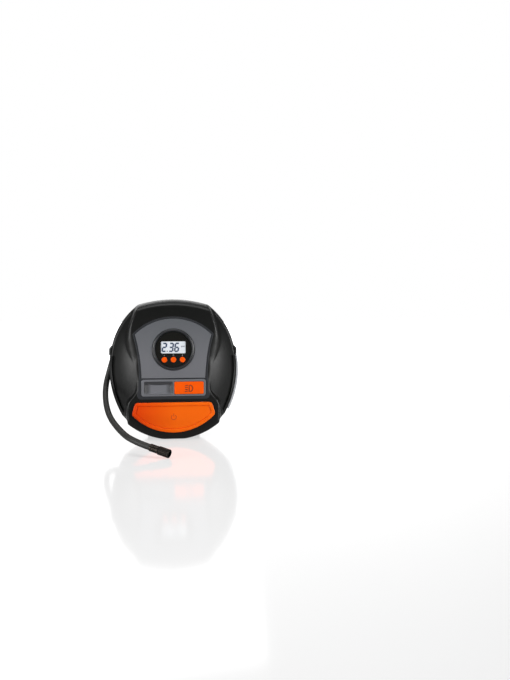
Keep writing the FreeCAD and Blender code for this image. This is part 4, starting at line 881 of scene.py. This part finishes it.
def make_face():
    """Dark border frame and the two grey plates."""
    border = plate_outline(FRAME_TOP, FRAME_SIDE, FRAME_FOOT_Z, FRAME_CORNER)
    plate_hole = plate_outline(PLATE_TOP, PLATE_SIDE, PLATE_SIDE[2][1], 0, -SEAM)
    key_hole = round_box(*grown(KEY_PLATE, SEAM), KEY_PLATE_CORNER)
    mesh = slab([border, plate_hole, key_hole], FRAME_FRONT_Y, SEAT_Y, FRAME_EDGE)
    finished(mesh, "border_frame", "dark_plastic", "housing", "face_frame")
    plate = plate_outline(PLATE_TOP, PLATE_SIDE, PLATE_SIDE[2][1], 0)
    gauge_hole = circle(0.0, GAUGE_Z, BEZEL_RADIUS + SEAM)
    mesh = slab([plate, gauge_hole], PLATE_FRONT_Y, SEAT_Y, PLATE_EDGE)
    # The upper plate's finish paints it darker towards its top: painted shade.
    finished(mesh, "upper_plate", "plate_grey_painted_shade", "housing", "gauge_plate")
    holes = [round_box(*grown(key, KEY_GAP), KEY_CORNER + KEY_GAP) for key in (LEFT_KEY, RIGHT_KEY)]
    mesh = slab([round_box(*KEY_PLATE, KEY_PLATE_CORNER)] + holes, PLATE_FRONT_Y, SEAT_Y, PLATE_EDGE)
    finished(mesh, "lower_plate", "grey_plastic", "housing", "key_plate")


def make_gauge():
    """Stepped bezel ring, gloss black disc, display pane and the three round buttons."""
    bezel = moved(spun(BEZEL_PROFILE), 0, 0, GAUGE_Z)
    finished(bezel, "gauge_ring", "bezel_dark", "housing", "gauge_bezel", crease=50.0)
    disc = circle(0.0, GAUGE_Z, MASK_RADIUS)
    tips = [(-TIP_PITCH, "minus"), (0.0, "mode"), (TIP_PITCH, "plus")]
    holes = [circle(x, TIP_Z, TIP_RADIUS + TIP_GAP, TIP_HOLE_STEPS) for x, _ in tips]
    window = round_box(*WINDOW, WINDOW_CORNER)
    mesh = slab([disc, window] + holes, FACE_Y, FACE_Y + MASK_DEPTH, MASK_EDGE)
    finished(mesh, "gauge_disc", "gloss_black", "housing", "display_mask")
    pane = slab([round_box(*DISPLAY, DISPLAY_CORNER)], DISPLAY_FRONT_Y, DISPLAY_BACK_Y, DISPLAY_EDGE)
    finished(pane, "display_pane", "display_glass", "housing", "display_glass")
    for x, body in tips:
        cap = moved(spun(TIP_PROFILE, TIP_STEPS), x, 0, TIP_Z)
        finished(cap, body + "_tip", "orange_plastic", body, body + "_button")


def stroke(points, width):
    """The closed outline of a pen stroke of one width along some points."""
    left, right = [], []
    for i, (x, z) in enumerate(points):
        before, after = points[max(i - 1, 0)], points[min(i + 1, len(points) - 1)]
        dx, dz = after[0] - before[0], after[1] - before[1]
        length = math.hypot(dx, dz)
        nx, nz = -dz / length * width / 2, dx / length * width / 2
        left.append((x + nx, z + nz))
        right.append((x - nx, z - nz))
    return left + right[::-1]


def ink(name, outlines, surface_y, tone, body):
    """Thin printed or moulded marks that lie on a surface."""
    front_y, back_y = surface_y - INK_LIFT, surface_y + INK_ROOT
    meshes = [slab([outline], front_y, back_y, INK_EDGE) for outline in outlines]
    finished(joined(meshes), name, tone, body)


# Both ends of each segment, as shares of the digit's width and height
SEGMENTS = {
    "a": (0.06, 1.0, 0.94, 1.0), "b": (1.0, 0.97, 1.0, 0.54), "c": (1.0, 0.46, 1.0, 0.03),
    "d": (0.06, 0.0, 0.94, 0.0), "e": (0.0, 0.46, 0.0, 0.03), "f": (0.0, 0.97, 0.0, 0.54),
    "g": (0.1, 0.5, 0.9, 0.5),
}


def make_digits():
    """The slanted seven-segment reading and the small unit beside it."""
    bars = []
    for left, lit in DIGITS:
        for part in lit:
            x0, z0, x1, z1 = SEGMENTS[part]
            ends = []
            for x, z in ((x0, z0), (x1, z1)):
                rise = z * DIGIT_HEIGHT
                ends.append((left + x * DIGIT_WIDTH + rise * DIGIT_SLANT, DIGIT_FOOT_Z + rise))
            bars.append(stroke(ends, DIGIT_STROKE))
    bars.append(round_box(*DECIMAL_POINT, DECIMAL_CORNER))
    for left, letter in UNIT:
        bars += small_letter(letter, left, UNIT_Z)
    ink("display_digits", bars, DISPLAY_FRONT_Y, "display_ink", "housing")


def small_letter(letter, x, z):
    """One small capital, as strokes in a cell 1.7 mm high."""
    shapes = {
        "B": [[(0, 0), (0, 1.7)], [(0, 1.6), (1.0, 1.5)], [(0, 0.85), (1.0, 0.85)],
              [(0, 0.1), (1.0, 0.15)], [(0.95, 1.5), (0.95, 0.1)]],
        "A": [[(0, 0), (0.55, 1.7)], [(0.55, 1.7), (1.1, 0)], [(0.2, 0.6), (0.9, 0.6)]],
        "R": [[(0, 0), (0, 1.7)], [(0, 1.6), (1.0, 1.5)], [(0, 0.85), (1.0, 0.9)],
              [(0.95, 1.5), (0.95, 0.9)], [(0.4, 0.85), (1.1, 0)]],
        "M": [[(0, 0), (0, 1.7)], [(0, 1.7), (0.7, 0.7)], [(0.7, 0.7), (1.4, 1.7)], [(1.4, 1.7), (1.4, 0)]],
    }
    return [stroke([(x + px, z + pz) for px, pz in line], SIGN_STROKE) for line in shapes[letter]]


def make_marks():
    """The small white signs over the round buttons and the two signs on the orange keys."""
    bars = [[(x - SIGN_HALF, SIGN_Z), (x + SIGN_HALF, SIGN_Z)] for x in (-TIP_PITCH, TIP_PITCH)]
    bars.append([(TIP_PITCH, SIGN_Z - SIGN_HALF), (TIP_PITCH, SIGN_Z + SIGN_HALF)])
    signs = [stroke(bar, SIGN_STROKE) for bar in bars] + small_letter("M", -SIGN_HALF, MODE_FOOT_Z)
    ink("gauge_signs", signs, FACE_Y, "white_ink", "housing")
    lamp = [stroke(LAMP_SIGN, LAMP_STROKE)]
    for z in BEAM_HEIGHTS:
        lamp.append(stroke([(x, z + rise) for x, rise in (BEAM_LEFT, BEAM_RIGHT)], BEAM_STROKE))
    ink("lamp_sign", lamp, KEY_FRONT_Y, "sign_brown", "light")
    lines = (arc_points(SWITCH_RING, *SWITCH_SWEEP), SWITCH_BAR)
    switch = [stroke(line, SWITCH_STROKE) for line in lines]
    ink("power_sign", switch, POWER_FRONT_Y + POWER_DISH, "sign_orange", "power")


def make_power_button():
    """The wide power button: a rounded rim about a shallow dish, and a liner under the groove."""
    outer, inner, dish = (polar_outline(lambda x, z: in_power(x, z, -inset), POWER_MIDDLE)
                          for inset in (0.0, POWER_RIM, POWER_RIM + POWER_GROOVE))
    rim = slab([outer, inner], POWER_FRONT_Y, POWER_BACK_Y, POWER_EDGE)
    floor = slab([dish], POWER_FRONT_Y + POWER_DISH, POWER_FLOOR_BACK_Y, POWER_FLOOR_EDGE)
    liner = slab([inner], POWER_FRONT_Y + 2 * POWER_DISH, POWER_FLOOR_BACK_Y, POWER_LINER_EDGE)
    pad = joined([rim, floor, liner])
    # The button's finish paints it darker at the left and lighter at the right: painted light.
    finished(pad, "power_pad", "power_orange_painted_light", "power", "power_button")


def scoop_depth(u, v):
    """Depth of the grey key's finger scoop; u runs across from -1 to 1 and v up from 0 to 1."""
    bowl = max(1 - abs(u / SCOOP_SPAN) ** 4, 0.0)
    lip = eased(v, SCOOP_LIP[0] - SCOOP_LIP_SAG * (1 - u * u), SCOOP_LIP[1])
    return SCOOP_DEPTH * bowl * lip * eased(v, *SCOOP_FOOT)


def make_keys():
    """The flat orange key and the grey key with its finger scoop."""
    flat = slab([round_box(*RIGHT_KEY, RIGHT_KEY_CORNER)], KEY_FRONT_Y, KEY_BACK_Y, KEY_EDGE)
    finished(flat, "light_pad", "orange_plastic", "light", "light_key")
    x0, x1, z0, z1 = LEFT_KEY
    bm = bmesh.new()
    bmesh.ops.create_grid(bm, x_segments=SCOOP_GRID[0], y_segments=SCOOP_GRID[1], size=1)
    for vert in bm.verts:
        u, v = vert.co.x, vert.co.y
        edge = max(abs(u) ** SCOOP_CORNER_POWERS[0], abs(v) ** SCOOP_CORNER_POWERS[1]) * SCOOP_EDGE
        y = KEY_FRONT_Y + scoop_depth(u, (v + 1) / 2) + edge
        vert.co = ((x0 + x1) / 2 + u * (x1 - x0) / 2, y, (z0 + z1) / 2 + v * (z1 - z0) / 2)
    rim = [edge for edge in bm.edges if edge.is_boundary]
    walls = bmesh.ops.extrude_edge_only(bm, edges=rim)
    back = [item for item in walls["geom"] if isinstance(item, bmesh.types.BMVert)]
    for vert in back:
        vert.co.y = KEY_BACK_Y
    bmesh.ops.holes_fill(bm, edges=[edge for edge in bm.edges if edge.is_boundary], sides=0)
    bmesh.ops.recalc_face_normals(bm, faces=bm.faces[:])
    # The grey key's finish paints shade into the ends and under the lip of its scoop.
    finished(bm, "scooped_pad", "scooped_grey_painted_shade", "dished", "dished_key")


def make_hose():
    """The air hose as one smooth curve through its route."""
    curve = bpy.data.curves.new("air_hose", "CURVE")
    curve.dimensions = "3D"
    spline = curve.splines.new("NURBS")
    spline.points.add(len(HOSE_ROUTE) - 1)
    for knot, place in zip(spline.points, HOSE_ROUTE):
        knot.co = (*(Vector(place) * MM), 1)
        knot.radius = HOSE_RADIUS * MM
    spline.order_u = 3
    spline.use_endpoint_u = True
    spline.resolution_u = 24
    curve.bevel_depth = 1.0
    curve.bevel_resolution = 8
    curve.use_fill_caps = True
    hose = bpy.data.objects.new("air_hose", curve)
    bpy.context.scene.collection.objects.link(hose)
    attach(hose, "housing")
    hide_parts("hose")
    return hose


def along_hose_tip(bm):
    """Lay a piece spun about the Y axis along the hose's last run, from the end of the hose."""
    start, end = Vector(HOSE_ROUTE[-1]), Vector(HOSE_TIP)
    turn = Vector((0, 1, 0)).rotation_difference(end - start).to_matrix().to_4x4()
    bmesh.ops.transform(bm, matrix=Matrix.Translation(start) @ turn, verts=bm.verts[:])
    return bm


def make_connector():
    """The crimped ferrule and the fluted nut that turns on it."""
    outer, end = FERRULE_RADIUS, FERRULE_LENGTH
    fall, run = FERRULE_CHAMFER
    down, level, up = CRIMP_WAY
    crimps = [(FERRULE_BORE, 0.0), (outer - fall, 0.0), (outer, run)]
    for at in CRIMPS:
        crimps += [(outer, at), (CRIMP_RADIUS, at + down), (CRIMP_RADIUS, at + level), (outer, at + up)]
    crimps += [(outer, end - run), (outer - fall, end), (FERRULE_BORE, end)]
    ferrule = along_hose_tip(spun(crimps, FERRULE_STEPS))
    finished(ferrule, "crimped_ferrule", "dark_metal", "housing", "hose_ferrule")
    length = (Vector(HOSE_TIP) - Vector(HOSE_ROUTE[-1])).length
    first = FERRULE_LENGTH + NUT_GAP
    fluted = length - first - 2 * NUT_PLAIN
    rings = [(NUT_RADIUS, first + NUT_PLAIN + fluted * i / NUT_RINGS) for i in range(NUT_RINGS + 1)]
    (near, near_run), (far, far_run) = NUT_NEAR_END, NUT_FAR_END
    nut = spun([(NUT_BORE, first), (near, first), (NUT_RADIUS, first + near_run)] + rings
               + [(NUT_RADIUS, length - far_run), (far, length), (NUT_BORE, length)], NUT_STEPS)
    for vert in nut.verts:
        from_end = min(vert.co.y - first, length - vert.co.y)
        if math.hypot(vert.co.x, vert.co.z) > NUT_RADIUS - TOUCH and from_end > NUT_PLAIN - TOUCH:
            wave = math.cos(NUT_FLUTES * math.atan2(vert.co.z, vert.co.x))
            scale = 1 - FLUTE_DEPTH * max(wave, 0.0) ** 2
            vert.co.x, vert.co.z = vert.co.x * scale, vert.co.z * scale
    finished(along_hose_tip(nut), "fluted_nut", "nut_metal", "nut", "connector_nut")


def make_stage():
    """A wide pale floor, a little glossy, with the object's shadow on it."""
    bm = bmesh.new()
    bmesh.ops.create_grid(bm, x_segments=8, y_segments=8, size=FLOOR_HALF)
    mesh = bpy.data.meshes.new("floor")
    bm.to_mesh(mesh)
    bm.free()
    floor = bpy.data.objects.new("floor", mesh)
    bpy.context.scene.collection.objects.link(floor)
    finish = Finish("pale_floor", ior=1.4)
    base = finish.mix(finish.noise(3.0), colour(150, 150, 150), colour(156, 156, 156))
    finish.feed_shader(base_color=base, roughness=0.1)
    mesh.materials.append(finish.material)
    rays = finish.node("LightPath", output=0)
    glossy = finish.node("LightPath", output=3)
    clear = finish.node("LightPath", output=6)
    away = finish.node("VectorMath", {"operation": "LENGTH"}, {0: finish.place()}, output=1)
    far = finish.ramp(away / 4.0, [(0.2, 0.0), (0.5, 1.0)])
    seen = rays * (far * 0.8 + 0.4) + rays.most(glossy).most(clear) * 0.2
    finish.feed_shader(emission_color=seen)
    finish.shader.inputs["Emission Strength"].default_value = 1.0


def make_world():
    """White behind the object for the camera, dim studio walls at the camera's side."""
    world = bpy.data.worlds.new("studio")
    bpy.context.scene.world = world
    world.use_nodes = True
    tree = world.node_tree
    back = tree.nodes["Background"]
    where = tree.nodes.new("ShaderNodeTexCoord")
    split = tree.nodes.new("ShaderNodeSeparateXYZ")
    ramp = tree.nodes.new("ShaderNodeMapRange")
    rays = tree.nodes.new("ShaderNodeLightPath")
    mix = tree.nodes.new("ShaderNodeMix")
    tree.links.new(where.outputs["Generated"], split.inputs[0])
    tree.links.new(split.outputs["Y"], ramp.inputs["Value"])
    ramp.inputs["From Min"].default_value, ramp.inputs["From Max"].default_value = WALL_EDGE
    ramp.inputs["To Min"].default_value = WALL_LIGHT
    ramp.inputs["To Max"].default_value = 1.0
    back.inputs["Color"].default_value = (1.0, 1.0, 1.0, 1.0)
    tree.links.new(rays.outputs["Is Camera Ray"], mix.inputs[0])
    tree.links.new(ramp.outputs[0], mix.inputs[2])
    mix.inputs[3].default_value = 1.0
    tree.links.new(mix.outputs[0], back.inputs["Strength"])


def softbox(name, place, size, power):
    """A rectangular soft light that points at the object."""
    lamp = bpy.data.lights.new(name, "AREA")
    lamp.shape = "RECTANGLE"
    lamp.size, lamp.size_y = size
    lamp.energy = power
    holder = bpy.data.objects.new(name, lamp)
    holder.location = place
    holder.rotation_euler = (Vector(STUDIO_MIDDLE) - Vector(place)).to_track_quat("-Z", "Y").to_euler()
    bpy.context.scene.collection.objects.link(holder)


make_camera()
# The box that Blender reports for the hose depends on the hose taking its material after it rides.
hose = make_hose()
hose.data.materials.append(finishes["rubber"])
dress_nodes()
finished(make_front_skin(), "front_skin", "black_plastic", "housing", "front_shell", crease=50.0)
make_face()
make_gauge()
make_digits()
make_marks()
make_power_button()
make_keys()
make_connector()
make_stage()
make_world()
for lamp in SOFTBOXES:
    softbox(*lamp)
bpy.context.scene.view_settings.view_transform = "Standard"
